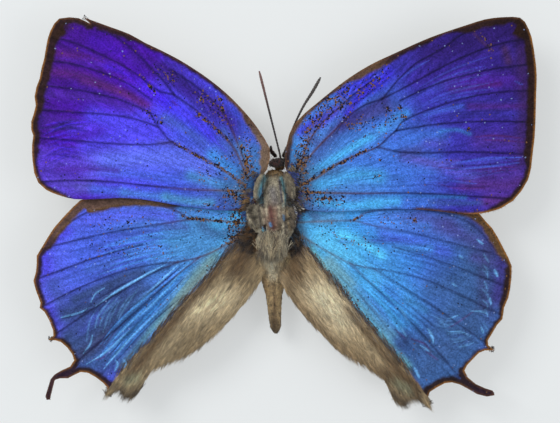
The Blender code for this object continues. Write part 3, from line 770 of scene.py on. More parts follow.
left_forewing["strokes"] = [
    (VIOLET_DEEP, 2.19, 0.9, [(-23.4, 20.4), (-18.1, 18.8)]),
    (VIOLET_DEEP, 1.09, 0.6, [(-25.4, 19.4), (-27, 15), (-27.4, 10.7)]),
    (VIOLET, 1, 0.8, [(-21.6, 19.6), (-17.7, 18), (-14.9, 15.8)]),
    (PLUM, 0.72, 0.8, [(-26.6, 18.2), (-23.4, 17.6), (-20.4, 16.8), (-17.7, 15.4)]),
    (VIOLET, 0.56, 0.8, [(-20, 16.6), (-16.1, 14.8)]),
    (PLUM, 0.68, 0.9, [(-27, 16), (-23, 15.4), (-19.7, 14), (-17.1, 13.1), (-15.3, 12.1)]),
    (RED_PLUM, 0.45, 0.7, [(-23, 14.8), (-19.7, 14), (-17.3, 12.9), (-15.9, 12.1)]),
    (PLUM_BLUE, 0.6, 0.7, [(-27.4, 13.4), (-24, 13.1), (-20.4, 12.6), (-17.3, 11.5)]),
    (BLUE_VIOLET, 1.29, 0.85, [(-21.6, 10.5), (-18.1, 9.7), (-14.1, 8.7)]),
    (PLUM_BLUE, 0.8, 0.6, [(-27.6, 10.3), (-24, 9.7)]),
    (CORNFLOWER_PALE, 1.7, 0.85, [(-21.5, 5.2), (-18.1, 5.4), (-12.1, 5.6), (-8.5, 4.5)]),
    (BLUE_VIOLET, 1, 0.7, [(-22.5, 6.9), (-18, 8.6), (-15, 8.7)]),
    (CORNFLOWER, 0.7, 0.7, [(-22, 4.2), (-16, 3.6), (-11, 3)]),
    (PURPLE, 1.5, 0.8, [(-28.6, 5.6), (-26, 5.2), (-22.4, 4.6)]),
    (PURPLE, 1.2, 0.7, [(-28.2, 3.2), (-25.5, 3.2)]),
    (LAVENDER, 0.9, 0.8, [(-26, 1.8), (-22.5, 2.2)]),
    (ELECTRIC, 0.9, 0.95, [(-15.3, 13.8), (-12.9, 12.3)]),
    (ELECTRIC_BLUE, 0.9, 0.8, [(-12.5, 12.1), (-10.1, 10.5), (-7.7, 8.3)]),
    (DULL_BLUE, 0.56, 0.85, [(-13.1, 10.5), (-10.9, 9.1), (-8.5, 7.5)]),
    (INDIGO, 1.09, 0.85, [(-13.1, 16.8), (-10.1, 14.4), (-7.1, 11.9), (-5.1, 9.9)]),
    (VIOLET_DEEP, 0.44, 0.7, [(-18.1, 19.4), (-14.9, 17.6), (-12.1, 15.6)]),
    (INDIGO, 0.6, 0.6, [(-9.4, 13.4), (-6.4, 10.8), (-4.6, 8.6)]),
    (BLUE_INDIGO, 0.6, 0.8, [(-10.1, 12.3), (-7.5, 10.3), (-5.5, 7.9)]),
    (TEAL_BLUE, 1, 0.5, [(-2.5, 6.5), (-2.1, 4.5)]),
    (AZURE, 0.84, 0.85, [(-7.5, 5.9), (-5.5, 4.3), (-4.1, 3.3)]),
    (TEAL_BLUE, 0.72, 0.8, [(-10.1, 3.5), (-6.1, 2.3), (-3.7, 1.5)]),
    (PURPLE, 0.64, 0.9, [(-27, 2.3), (-24.4, 1.7)]),
    (CORNFLOWER, 0.72, 0.8, [(-21.6, 1.9), (-18.1, 1.5)]),
    (CORNFLOWER_SKY, 0.6, 0.7, [(-18.1, 1.5), (-13.1, 0.9)]),
    (TEAL, 0.6, 0.8, [(-13.1, 1), (-10.1, 0.4), (-7.7, 0.3)]),
    (PLUM_BLUE, 0.4, 0.6, [(-26, 4.3), (-21, 4.3), (-18.9, 4.1)]),
    (INDIGO_DEEP, 0.9, 0.6, [(-27.6, 17.5), (-28, 13), (-28.2, 9.5)]),
    (INDIGO, 0.9, 0.7, [(-13, 15.2), (-10.4, 13.4), (-7.2, 10.8)]),
    (SLATE_BLUE, 0.7, 0.6, [(-6.2, 8.6), (-4.4, 6.4)]),
    (STEEL, 0.8, 0.6, [(-4.2, 3.2), (-6, 1.8)]),
    (ROOT_GREY, 0.8, 0.7, [(-3.6, 3.6), (-3.9, 0.8)]),
    (TEAL_BLUE, 0.5, 0.6, [(-4.2, 7.2), (-3.4, 5)]),
    (NIGHT, 0.8, 0.9, [(-25, 21.4), (-26.2, 20.4)]),
    (colour(84, 38, 214), 0.5, 0.7, [(-17.8, 14.6), (-15, 13.2)]),
    (colour(66, 78, 178), 0.5, 0.7, [(-13.6, 10.3), (-12.4, 9.4)]),
    (colour(76, 76, 160), 0.4, 0.6, [(-13.8, 7.5), (-11.8, 7.2)]),
    (colour(88, 58, 226), 0.7, 0.8, [(-24.2, 8.9), (-21.8, 9.4)]),
    (colour(94, 54, 216), 0.6, 0.6, [(-27.4, 5.4), (-26.2, 5.8)]),
    (colour(64, 28, 134), 0.8, 0.6, [(-17, 17.6), (-14.6, 16.2)]),
    (colour(56, 32, 140), 0.6, 0.7, [(-13.6, 15.9), (-10.2, 13.2)]),
]
# Thin lines along the creases: the bright ones are painted highlights, the dark ones painted shade.
left_forewing["folds"] = [
    (NIGHT_BLUE, 0.12, 0.7, [(-28.2, 9.2), (-26.6, 9.3), (-24, 9.6), (-22, 9.4)]),
    (ELECTRIC, 0.1, 0.5, [(-27.6, 9.5), (-25.8, 9.9), (-24, 10)]),
    (ELECTRIC, 0.1, 0.5, [(-27.8, 7.9), (-26, 8.3), (-24.4, 8.8)]),
    (ELECTRIC, 0.12, 0.5, [(-27.4, 5.9), (-25.6, 6.9), (-23.4, 6.1)]),
    (RED_PLUM, 0.1, 0.6, [(-25, 11.3), (-24, 11.2)]),
    (RED_PLUM, 0.1, 0.7, [(-12.5, 12.6), (-11.5, 11.7)]),
]
# Families of wrinkles, painted as highlight lines when bright and as shade lines when dark.
left_forewing["wrinkles"] = [
    (61, ELECTRIC, 0.13, 0.25, 7, [(-16, 14.2), (-21, 16.3), (-26.6, 17.1)],
     [(-13.5, 13.4), (-18, 16.4), (-25.5, 19.5)]),
    (62, NIGHT_BLUE, 0.1, 0.4, 9, [(-17, 11.4), (-22, 12.4), (-28, 12.4)],
     [(-16, 13), (-21, 15), (-27, 16.6)]),
    (63, NIGHT_BLUE, 0.1, 0.45, 9, [(-21.6, 10.6), (-24.6, 10.3), (-28.2, 8.6)],
     [(-21.6, 8.8), (-25, 9), (-28.2, 8.2)]),
    (64, NIGHT_BLUE, 0.1, 0.4, 8, [(-22, 7.2), (-25, 7.1), (-28.4, 5.4)],
     [(-22, 4.4), (-25, 4.8), (-28.4, 3.6)]),
    (65, ELECTRIC, 0.12, 0.5, 7, [(-21.6, 10.3), (-25, 9.6), (-28, 8.4)],
     [(-22, 4.6), (-25, 5.4), (-28.2, 4)]),
    (66, INDIGO_DEEP, 0.12, 0.4, 8, [(-6.4, 10.4), (-10, 13.4), (-14.5, 16.2)],
     [(-7.6, 12.2), (-12, 15.8), (-17, 19.2)]),
    (67, BLUE_VIOLET, 0.16, 0.5, 5, [(-4.5, 5), (-9.5, 9.6), (-13.5, 12.6)],
     [(-5, 7.6), (-9.5, 12), (-13, 14.5)]),
]
left_forewing["worn"] = [
    (0.84, 0.85, [(-5.3, 1.5), (-4.3, 0.7)]),
    (0.5, 0.7, [(-3.4, 3.6), (-3.2, 0.6)]),
    (0.8, 0.3, [(-3.6, 7.6), (-3, 5.2), (-3.4, 3)]),
    (0.3, 0.8, [(-4.1, 7.1), (-3.5, 5.5), (-3.5, 3.5)]),
    (0.22, 0.8, [(-9.3, 10.9), (-7.5, 9.5), (-5.7, 7.9)]),
    (0.16, 0.8, [(-16.1, 15.6), (-14.1, 13.1)]),
    (0.18, 0.8, [(-12.1, 7.5), (-10.1, 6.3), (-8.1, 5.3), (-6.1, 4.3), (-4.3, 2.7)]),
    (0.68, 0.3, [(-8.9, 13.1), (-7.1, 11.7), (-5.9, 10.3)]),
    (0.52, 0.3, [(-14.1, 16), (-12.1, 14.8)]),
    (0.24, 0.7, [(-6.5, 12.7), (-6.1, 10.7)]),
    (0.44, 0.3, [(-15.3, 11.1), (-13.5, 9.7)]),
    (1.19, 0.16, [(-8.1, 3.5), (-5.1, 5.5)]),
    (0.14, 0.9, [(-17.9, 5.2)]),
    (0.16, 0.7, [(-6.1, -0.3), (-8.5, 0.1)]),
]
left_forewing["margin"] = [(-27.6, 21.4), (-29.2, 12), (-29.2, 5), (-27, 1.4)]
dress_wing(left_forewing)

# %% [markdown]
# The right forewing faces the light differently, so it is darker and bluer. Along its front
# edge the scales are rubbed off in patches and the brown skin shows, and in its middle cell a
# bright azure streak follows the lower vein.

# %% Right forewing
right_forewing = new_wing("right_forewing", (2.4, 1.6), 0.85)
right_forewing["ground"] = [
    (2, STEEL),
    (7, CORNFLOWER_SKY),
    (13, CORNFLOWER_DEEP),
    (19, BLUE_INDIGO),
    (25, INDIGO),
    (30, INDIGO_DEEP),
]
right_forewing["borders"] = [
    (1.1, 1.6, [(31, 18.5), (31.3, 14), (31.1, 9), (30.8, 6)]),
    (2, 1.5, [(30.2, 21.6)]),
    (1, 1.3, [(27, 22.4), (23, 21.5)]),
    (0.6, 1.2, [(18, 19.8), (15.5, 18.7)]),
    (0.9, 1.4, [(13.5, 17.9), (10, 16)]),
    (0.4, 1.2, [(7.5, 14.2), (4, 11.4)]),
    (0.65, 1.2, [(2.4, 9.8), (1.5, 7.6), (1.2, 5.7)]),
    (0.7, 1.3, [(30.4, 3.2), (29, 1), (27, -0.4)]),
    (0.25, 1.2, [(24, -1.1), (20, -0.8)]),
    (0, 0.8, [(16, -0.5), (8, -0.8), (4, -0.6)]),
]
right_forewing["border_tones"] = [
    (BARK_LIGHT, 1.6, [(3.6, 11), (1.8, 8.8)]),
    (BARK_LIGHT, 1.5, [(12, 17), (8, 14.6)]),
]
right_forewing["veins"] = [
    [(2.9, 4.45), (3.5, 6.35), (4.3, 8.05), (5.65, 9.85), (7.45, 11.5), (9.35, 13.2), (11.9, 15.1)],
    [(3.1, 3.95), (3.85, 5.4), (5.15, 6.95), (6.95, 8.75), (8.9, 10.7), (10.8, 12), (12.85, 12.7)],
    [(12.85, 12.7), (14.75, 15), (16.8, 16.9), (18.6, 17.9), (20.3, 18.9), (22.2, 20.3), (24.35, 21.2)],
    [(12.85, 12.7), (15, 13.8), (17.4, 15.1), (20.4, 16.7), (23.4, 18.1), (27, 19.3), (30.35, 19.9)],
    [(15, 12.5), (17.15, 13.55), (19.8, 14.65), (22.8, 15.55), (26.4, 16.3), (30.7, 16.85)],
    [(14.5, 8.9), (15.25, 9.95), (17.15, 10.9), (19.8, 11.9), (22.8, 12.8), (26.4, 13.45), (30.85, 13.7)],
    [(3, 2.4), (5.15, 3.35), (7.8, 5.15), (10.45, 6.25), (12.25, 6.95), (13.55, 8.1), (14.5, 8.9)],
    [(14.5, 8.9), (16.8, 9.3), (19.8, 9.7), (23.4, 9.95), (27, 10), (30.7, 9.9)],
    [(12.25, 6.95), (15, 6.35), (18.6, 6.25), (22.2, 6.35), (26.4, 6.25), (30.5, 6)],
    [(3, 1.6), (6.6, 1.45), (10.8, 1.4), (15, 1.45), (19.8, 1.3), (24, 1), (28.1, 0.75)],
]
right_forewing["strokes"] = [
    (INDIGO_DEEP, 2.27, 0.85, [(18.6, 18), (23.8, 19.3), (27.5, 20.1)]),
    (INDIGO, 1.24, 0.7, [(17.1, 15.1), (22.7, 16.6), (27.9, 18.2)]),
    (PLUM_BLUE, 0.83, 0.75, [(20.7, 14.7), (24.8, 15.1), (29.3, 14.7)]),
    (PLUM, 0.33, 0.7, [(21.1, 13.7), (24.8, 14.3), (26.9, 14.5)]),
    (BLUE_INDIGO, 1.24, 0.7, [(18.6, 11.8), (22.7, 11.8), (28.9, 11.4)]),
    (PLUM, 0.45, 0.6, [(23.3, 11.8), (26.9, 11.8), (29.8, 11.8)]),
    (CORNFLOWER, 0.35, 0.8, [(18, 10.8), (20.2, 11.4), (22.3, 11.8)]),
    (CORNFLOWER_DEEP, 1.03, 0.85, [(14.5, 7.7), (17.6, 8.1), (19.6, 8.3)]),
    (PURPLE_DEEP, 1.07, 0.9, [(24.4, 7.7), (28.9, 7.7)]),
    (AZURE, 0.24, 0.45, [(19.8, 8.8), (21.7, 9), (23.3, 8.5)]),
    (CORNFLOWER_DEEP, 1.36, 0.85, [(9.3, 5.2), (14.5, 4.8), (18.6, 4.4)]),
    (MAUVE, 0.33, 0.5, [(16.5, 5.6), (19.6, 5), (21.9, 5.2)]),
    (PURPLE_DEEP, 1.28, 0.9, [(24.8, 3.6), (28.9, 3.8)]),
    (MAGENTA, 0.87, 0.7, [(22.7, 2.5), (27.5, 2.3), (29.3, 2.7)]),
    (DARK_BLUE, 0.83, 0.9, [(7.2, 8.9), (9.3, 10), (12.4, 11.2), (14.5, 11.8)]),
    (SKY, 0.58, 0.95, [(4.1, 3.6), (7.2, 5.6), (10.3, 7.5), (12.8, 8.9), (14.5, 10)]),
    (AZURE, 0.54, 0.8, [(14.5, 10.6), (15.7, 11)]),
    (ELECTRIC_BLUE, 0.74, 0.95, [(8.7, 11), (10.3, 13.1), (12.4, 14.5), (13.6, 15.8)]),
    (ELECTRIC_BLUE, 0.7, 0.75, [(3.1, 8.9), (5.2, 10.2), (7, 11)]),
    (ELECTRIC_BLUE, 0.74, 0.7, [(7.9, 13.5), (9.3, 14.3), (11.6, 15.5)]),
    (AZURE, 0.87, 0.8, [(2.3, 6.9), (2.1, 4.8)]),
    (SKY, 0.91, 0.85, [(5.2, 2.5), (9.3, 3.6), (12.4, 3.4)]),
    (DARK_AZURE, 0.31, 0.85, [(9.3, 1.2), (14.5, 1), (19.6, 1), (22.7, 0.9)]),
    (SKY, 0.62, 0.95, [(5.2, 0.5), (8.7, -0.1), (12.4, 0.1)]),
    (CORNFLOWER_DEEP, 0.58, 0.9, [(16.1, 0.2), (18.6, 0.3)]),
    (DARK_BLUE, 0.33, 0.8, [(18.6, 0.3), (21.7, 0.2), (24.8, 0.3)]),
    (MAGENTA, 0.79, 0.9, [(25.4, 0.5), (27.9, 0.5)]),
    (BROWN_HAZE, 0.54, 0.6, [(27.5, 18.6), (27.9, 17.2)]),
    (BROWN_HAZE, 0.17, 0.5, [(23.8, 20.5), (24.8, 19.5), (26, 18.4)]),
    (DUSK, 0.8, 0.6, [(29.4, 18.5), (29.7, 14), (29.6, 9.5), (29.4, 5)]),
    (DUSK_BLUE, 0.8, 0.55, [(4, 8.8), (6, 10.6), (8.6, 12.2)]),
    (DUSK_BLUE, 0.7, 0.6, [(8.4, 9.4), (10.4, 10.4), (13.4, 11.6)]),
    (DARK_BLUE, 0.8, 0.6, [(5, 6.2), (7, 8), (8.8, 9.4)]),
    (DULL_BLUE, 0.6, 0.5, [(12, 8.6), (14.4, 8.2)]),
    (STEEL, 0.9, 0.65, [(4, 3.4), (7.2, 4.2)]),
    (LAVENDER, 0.7, 0.6, [(15.5, 5.7), (19, 4.8), (23.5, 3.5)]),
    (SKY, 0.6, 0.8, [(11, 0.2), (14.6, 0.4)]),
    (ROOT_GREY, 1.3, 0.8, [(2.9, 5), (3.1, 2.8), (3.2, 0.8)]),
    (STEEL, 0.8, 0.4, [(4.6, 0.8), (7, 0.8)]),
    (NIGHT, 0.87, 0.9, [(29.5, 21.5), (29.3, 20.3)]),
    (colour(58, 52, 124), 0.7, 0.85, [(8, 9.6), (10, 10.9), (11.6, 11.8), (13.2, 12.6)]),
    (colour(66, 70, 134), 0.6, 0.6, [(4.4, 8), (5.6, 7.4), (7, 8.8)]),
    (colour(84, 88, 216), 0.4, 0.85, [(5.6, 9.6), (6.4, 10.4), (7.6, 11.6)]),
    (colour(64, 50, 220), 0.35, 0.85, [(10.2, 13.8), (11.4, 14.6)]),
    (colour(72, 106, 212), 0.6, 0.65, [(13.6, 9.4), (14.6, 9.9)]),
    (colour(60, 68, 136), 0.7, 0.75, [(15.4, 6.2), (17.2, 6.6)]),
    (colour(80, 76, 186), 0.7, 0.65, [(18.2, 7.4), (20, 7.4)]),
]
# Thin lines along the creases: the bright ones are painted highlights, the dark ones painted shade.
right_forewing["folds"] = [
    (WINE, 0.12, 0.8, [(23.6, 8.1), (25.8, 8.3), (27.7, 8.2), (30, 7.9)]),
    (WINE, 0.1, 0.7, [(24.8, 7.8), (27.5, 7.7), (29.8, 7.5)]),
    (CORNFLOWER, 0.14, 0.7, [(20.7, 4.8), (23.8, 5.4), (25.8, 5.6), (29.5, 5.7)]),
    (CORNFLOWER, 0.12, 0.6, [(22.3, 4.2), (24.8, 4.5), (29.5, 5.1)]),
    (CORNFLOWER, 0.17, 0.6, [(17.1, 3.6), (19.6, 3.3), (22.3, 2.7), (24.4, 2.5)]),
    (WINE, 0.1, 0.7, [(18, 4.8), (21.7, 4.3), (25.8, 4.4), (29.8, 4.6)]),
    (WINE, 0.1, 0.6, [(19.2, 2.7), (21.7, 2), (25.8, 2.1)]),
    (WINE, 0.12, 0.5, [(23.8, 3.9), (26.9, 4.1), (29.5, 4.2)]),
    (CORNFLOWER, 0.1, 0.5, [(28.5, 14.9), (29.8, 14.3)]),
    (NIGHT_BLUE, 0.1, 0.6, [(19.8, 13.5), (22.7, 14.1), (24.8, 14.5)]),
    (CORNFLOWER, 0.12, 0.5, [(14.5, 14.7), (16.5, 16.2), (18.6, 17.4)]),
]
# Families of wrinkles, painted as highlight lines when bright and as shade lines when dark.
right_forewing["wrinkles"] = [
    (71, ELECTRIC_BLUE, 0.16, 0.6, 6, [(8, 10.8), (10.6, 12.8), (14.5, 16.4)],
     [(6.6, 12.4), (9, 14.4), (12.4, 17)]),
    (72, NIGHT_BLUE, 0.12, 0.45, 8, [(7.6, 10.4), (11.6, 13.2), (17.6, 18.2)],
     [(5.8, 11.8), (9, 14.8), (13, 17.3)]),
    (73, INDIGO_DEEP, 0.12, 0.4, 8, [(16, 12.4), (22, 14.9), (29.4, 15.8)],
     [(14.4, 13.6), (21, 17.3), (29.2, 19.4)]),
    (74, CORNFLOWER, 0.12, 0.35, 8, [(15.6, 10.4), (21, 12.2), (27, 13)],
     [(15, 12.8), (21, 16.4), (27, 18.6)]),
    (75, NIGHT_BLUE, 0.1, 0.4, 8, [(16.5, 9.6), (22, 10.4), (30, 10.6)],
     [(16.5, 10.4), (22, 12.2), (30, 13.1)]),
    (76, CORNFLOWER, 0.11, 0.5, 7, [(17.5, 2.4), (23, 2.8), (29.4, 4.2)],
     [(17.5, 5.4), (23, 5.4), (29.6, 5.8)]),
    (77, INDIGO_DEEP, 0.1, 0.5, 7, [(16.5, 2.2), (22, 1.8), (28.6, 2)],
     [(17.5, 5.6), (23, 5.6), (29.6, 5.8)]),
    (78, DARK_AZURE, 0.13, 0.45, 7, [(5, 2), (12, 2.2), (19, 2.2)], [(6.4, 4), (12, 5.8), (18, 5.6)]),
    (79, DARK_AZURE, 0.14, 0.4, 6, [(4.6, 4.4), (9, 7.2), (13.4, 8.8)],
     [(5.2, 6.4), (9, 9.4), (13.8, 11.4)]),
]
right_forewing["worn"] = [
    (0.9, 0.5, [(8.2, 13.6), (6.2, 11.8), (4.4, 10.2)]),
    (0.7, 0.6, [(5.2, 9.8), (3.7, 8.1), (3.2, 5.6)]),
    (0.7, 0.35, [(8, 12), (11, 14), (13, 15.6)]),
    (0.9, 0.45, [(3, 4.6), (3.4, 1)]),
    (0.54, 0.32, [(7.2, 10.6), (8.3, 11), (8.7, 9.6)]),
    (0.45, 0.29, [(9.1, 9.6), (10.7, 10)]),
    (0.41, 0.75, [(13.4, 11.6), (14, 10.6), (13.6, 9.8)]),
    (0.33, 0.6, [(15, 11.6)]),
    (0.21, 0.5, [(12.1, 12.2)]),
    (0.21, 0.8, [(12.7, 5.3)]),
    (0.14, 0.7, [(11.8, 3.4), (12.8, 3.6)]),
    (0.62, 0.8, [(2.6, 5), (3.4, 4.4)]),
    (0.19, 0.85, [(3.3, 2.4), (6.2, 4.2), (8.7, 5.4), (11.6, 6.9)]),
    (0.17, 0.8, [(3.7, 1.5), (6.2, 1.5)]),
    (0.95, 0.3, [(4.8, 0.7), (7.9, 0.4)]),
    (0.29, 0.8, [(5.6, 0.7), (6.4, 0.9)]),
    (0.19, 0.9, [(23.2, 9.1)]),
    (0.95, 0.1, [(10.3, 8.9), (13.2, 10.2)]),
    (0.12, 0.6, [(24.6, 20.7), (26, 18.4)]),
    (0.21, 0.7, [(13.4, 10.2), (15.7, 10.6)]),
]
right_forewing["margin"] = [(31, 20), (31.3, 12), (30.8, 5), (28.5, 0.4), (25, -1)]
dress_wing(right_forewing)

# %% [markdown]
# The left hindwing has slack skin between its lower veins: slate valleys with bright folds
# fanning out from the root, their highlights and shade painted along the creases. Below a brown
# line lies the inner field, which has silk in place of scales.

# %% Left hindwing
left_hindwing = new_wing("left_hindwing", (-2.6, -2.4), 0.75)
left_hindwing["ground"] = [
    (2, SKY),
    (6, TEAL_BLUE),
    (12, CORNFLOWER_SKY),
    (19, CORNFLOWER),
    (25, PERIWINKLE),
    (29, PURPLE),
]
left_hindwing["borders"] = [
    (2.1, 1.8, [(-22.5, 1.2), (-18, 2.2), (-12, 2)]),
    (1.1, 1.4, [(-24.6, -0.4), (-26.5, -2.6), (-27.6, -4.4)]),
    (0.7, 1.4, [(-28.6, -6.4), (-29, -9), (-28.2, -11.6)]),
    (0.55, 1.4, [(-27.2, -13.4), (-26.6, -15.4), (-25, -17)]),
    (2.5, 0.9, [(-24.9, -19.7), (-26.6, -20.6), (-27.3, -22.9)]),
    (0.7, 1, [(-23.6, -20.1), (-21.6, -20.7), (-20.2, -21.8)]),
    (1.1, 0.9, [(-20.3, -22.6), (-19.6, -22.4)]),
    (0.3, 1.5, [(-14.5, -19.8), (-9, -17), (-3.4, -11.4)]),
]
left_hindwing["border_tones"] = [
    (BARK_LIGHT, 1.9, [(-26.8, -2.6), (-24, 0.2), (-20, 1.8), (-14, 2)]),
    (EARTH, 1.4, [(-14.5, -19.8), (-9, -17), (-3, -10.8), (-1.8, -8)]),
]
left_hindwing["field"] = {
    "left": True,
    "line": [
        (-2.2, -3.4), (-3.8, -4.7), (-5.5, -5.8), (-7.9, -8.6), (-11.1, -11.9), (-14.1, -15.5),
        (-16.5, -17.9), (-18.8, -20.4), (-20.6, -22.9),
    ],
    "ground": BEIGE,
    "strokes": [
        (colour(240, 222, 184), 1.7, 0.9, [(-6, -11.2), (-9.4, -12.6)]),
        (SILK_PALE, 1, 0.4, [(-9.8, -13), (-13.4, -17.4)]),
        (EARTH, 1.7, 0.9, [(-3.4, -4.8), (-4.6, -7.4)]),
        (EARTH, 0.6, 0.8, [(-7, -8), (-11.2, -12.8), (-14.2, -16.4), (-17.6, -20.6)]),
        (EARTH, 0.6, 0.6, [(-4.4, -14), (-7.4, -16.8), (-12, -19.4)]),
        (BARK, 0.9, 0.85, [(-2.6, -3.2), (-3.8, -4.6)]),
        (LICHEN, 0.6, 0.55, [(-17.7, -21.1), (-16.6, -20.8)]),
        (BARK, 0.45, 0.8, [(-19, -22.2), (-17.6, -22.9), (-16.2, -22.3)]),
    ],
}
left_hindwing["veins"] = [
    [(-3, -2.3), (-4.8, -2.05), (-7.55, -1.85), (-10.3, -1.7)],
    [(-10.3, -1.7), (-12.1, -0.6), (-14.75, 0), (-17.65, 0.05), (-20.65, -0.4), (-23.05, -1.1),
     (-25.1, -2.5), (-26.5, -4.1)],
    [(-10.3, -1.7), (-13.2, -2.2), (-16.2, -2.65), (-19.55, -3.25), (-23.4, -4.1), (-27.85, -5.2)],
    [(-15.95, -4.75), (-18.6, -5.4), (-21.6, -6.35), (-24.85, -7.5), (-28.2, -8.75)],
    [(-3.25, -3.1), (-5.15, -4.3), (-7.2, -5.5), (-9.35, -6.35), (-11.65, -6.85)],
    [(-11.65, -6.85), (-14.4, -7.1), (-17.4, -7.7), (-20.4, -8.65), (-23.65, -10), (-27.6, -12)],
    [(-11.65, -6.85), (-15, -8.35), (-18, -10.1), (-21.25, -12.05), (-24, -13.9), (-26.4, -15.5)],
    [(-9, -6.25), (-11.4, -8.1), (-14.4, -10.75), (-17.4, -13.4), (-20.65, -16.2), (-23.9, -18.85)],
    [(-4.7, -6), (-7.45, -8.4), (-10.45, -11.4), (-13.55, -15.1), (-16.2, -17.9), (-19.1, -21)],
]
left_hindwing["strokes"] = [
    (PERIWINKLE, 1.15, 0.85, [(-23, -1.8), (-19.1, -1.2), (-15.1, -1), (-12.5, -1.4)]),
    (PURPLE_BRIGHT, 0.8, 0.8, [(-25, -3.2), (-26.6, -4.2)]),
    (CORNFLOWER_SKY, 0.6, 0.8, [(-11.1, -0.8), (-8.1, -1), (-6.1, -1.2)]),
    (BLUE_INDIGO, 0.52, 0.5, [(-20, -3.8), (-17.1, -3.4), (-14.1, -2.9)]),
    (CORNFLOWER, 1.19, 0.8, [(-23, -5.6), (-18.1, -5.2), (-14.1, -4.6)]),
    (TEAL_BLUE, 1.15, 0.85, [(-13.1, -4.8), (-10.1, -4.8), (-8.1, -4)]),
    (SKY, 0.68, 0.7, [(-7.5, -2.4), (-6.3, -3)]),
    (PURPLE_BRIGHT, 0.9, 0.85, [(-27.6, -6.2), (-27.4, -8.1)]),
    (PERIWINKLE, 0.8, 0.7, [(-27.2, -10.3), (-26, -9.9)]),
    (PURPLE_BRIGHT, 0.84, 0.7, [(-27, -12.7), (-26.2, -13.9)]),
    (CORNFLOWER, 0.9, 0.7, [(-24, -8.7), (-20, -7.6), (-16.1, -6.4)]),
    (SLATE, 0.8, 0.92, [(-24, -11.3), (-21, -9.9), (-18.1, -8.7), (-16.1, -8.1)]),
    (SLATE, 0.8, 0.85, [(-25, -13.3), (-22, -12.3), (-19.7, -10.3)]),
    (SLATE_VIOLET, 0.9, 0.85, [(-24.8, -15.5), (-23, -13.9)]),
    (SLATE_BLUE, 0.6, 0.7, [(-23.4, -16.7), (-21.6, -15.5), (-19.7, -13.5)]),
    (SLATE, 1.2, 0.85, [(-24.6, -17), (-22, -15.4), (-18.9, -12.4), (-16.1, -10)]),
    (SLATE_BLUE, 1.3, 0.8, [(-23.4, -19.2), (-20.4, -17.2), (-17.2, -13.8), (-14.2, -10.6)]),
    (SLATE_VIOLET, 0.9, 0.6, [(-26.6, -9.4), (-25.8, -11.4)]),
    (CORNFLOWER_DEEP, 0.68, 0.6, [(-12.1, -8.7), (-14.9, -11.9), (-17.1, -14.5), (-19.7, -17.3)]),
    (CORNFLOWER_DEEP, 0.9, 0.6, [(-22, -19.1), (-19.7, -18.5), (-18.1, -18.5)]),
    (TEAL_GREY, 0.68, 0.92, [(-7.1, -6), (-9.3, -8.1), (-11.3, -10.3), (-13.1, -12.7),
     (-16.1, -16.5), (-18.1, -19.1)]),
    (SEA_GREY, 0.3, 0.7, [(-8.5, -8.1), (-10.5, -10.3), (-12.5, -12.7), (-14.1, -14.7)]),
    (AZURE, 0.4, 0.8, [(-10.1, -7), (-12.1, -9.1), (-14.1, -11.5), (-15.7, -13.5)]),
    (STEEL_DARK, 0.8, 0.7, [(-4.4, -3), (-7, -3.4), (-8.6, -2.6)]),
    (SLATE, 1.5, 0.85, [(-25, -13), (-22, -12), (-18.6, -9.9)]),
    (SLATE, 1.5, 0.9, [(-24.8, -16.4), (-22.6, -17.6), (-20, -14.6), (-17.6, -12.2)]),
    (STEEL_DARK, 1.3, 0.7, [(-22, -19.6), (-19.6, -18), (-16.6, -14.6)]),
    (DULL_BLUE, 0.9, 0.5, [(-26.4, -9.6), (-24, -8.8), (-20, -7.8)]),
    (SLATE, 1.2, 0.6, [(-20.6, -20), (-18, -18.8), (-16.4, -17.4)]),
    (SEA_GREY, 0.9, 0.6, [(-7.6, -7), (-10, -9.6), (-12.2, -12)]),
    (EARTH, 0.6, 0.6, [(-4.6, -4.2), (-5.8, -5.4)]),
    (BARK, 0.9, 0.85, [(-2.6, -1.6), (-3.4, -3.4), (-4.2, -4.4)]),
    (colour(70, 94, 166), 0.5, 0.7, [(-13, -2.6), (-10.8, -2.7)]),
    (colour(82, 138, 230), 0.7, 0.75, [(-13.4, -5.2), (-17.4, -6)]),
    (colour(78, 116, 212), 0.6, 0.6, [(-19.4, -6.8), (-22.4, -7.6)]),
    (colour(50, 88, 142), 0.45, 0.8, [(-12.8, -7.5), (-15.4, -8.2)]),
    (colour(80, 132, 188), 0.45, 0.6, [(-15.4, -10.8), (-16.8, -12.2)]),
    (colour(68, 98, 128), 0.45, 0.8, [(-13, -12), (-14.8, -13.8)]),
    (colour(70, 76, 110), 0.8, 0.6, [(-20.2, -15.6), (-23.2, -18)]),
]
# Painted highlights along the bright folds.
left_hindwing["folds"] = [(SKY_BRIGHT, *row) for row in [
    (0.14, 0.9, [(-21.6, -12.2), (-18.9, -10.3), (-16.1, -8.7), (-13.3, -7.2)]),
    (0.14, 0.9, [(-19.3, -14.7), (-16.5, -11.9), (-14.1, -9.5), (-11.5, -7)]),
    (0.14, 0.9, [(-20, -16.7), (-17.1, -13.9), (-14.1, -11.3), (-10.1, -6.6)]),
    (0.16, 0.95, [(-20.6, -19.7), (-18.9, -17.7), (-16.5, -15.1), (-12.9, -11.9)]),
    (0.14, 0.9, [(-22.6, -19.1), (-20.4, -17.7), (-18.1, -15.7), (-14.9, -13.1)]),
    (0.1, 0.7, [(-22.2, -12.2), (-23.4, -12.9), (-26, -13.6)]),
    (0.1, 0.7, [(-21.9, -15.5), (-22.2, -16.7), (-23.1, -17.9)]),
    (0.08, 0.7, [(-22.2, -11.9), (-21.6, -10.7), (-20.4, -9.9)]),
    (0.12, 0.8, [(-19.3, -20.1), (-18.9, -19.1), (-19.3, -18.5)]),
    (0.12, 0.8, [(-18.5, -20.5), (-17.9, -19.1), (-18.3, -18.5)]),
]]
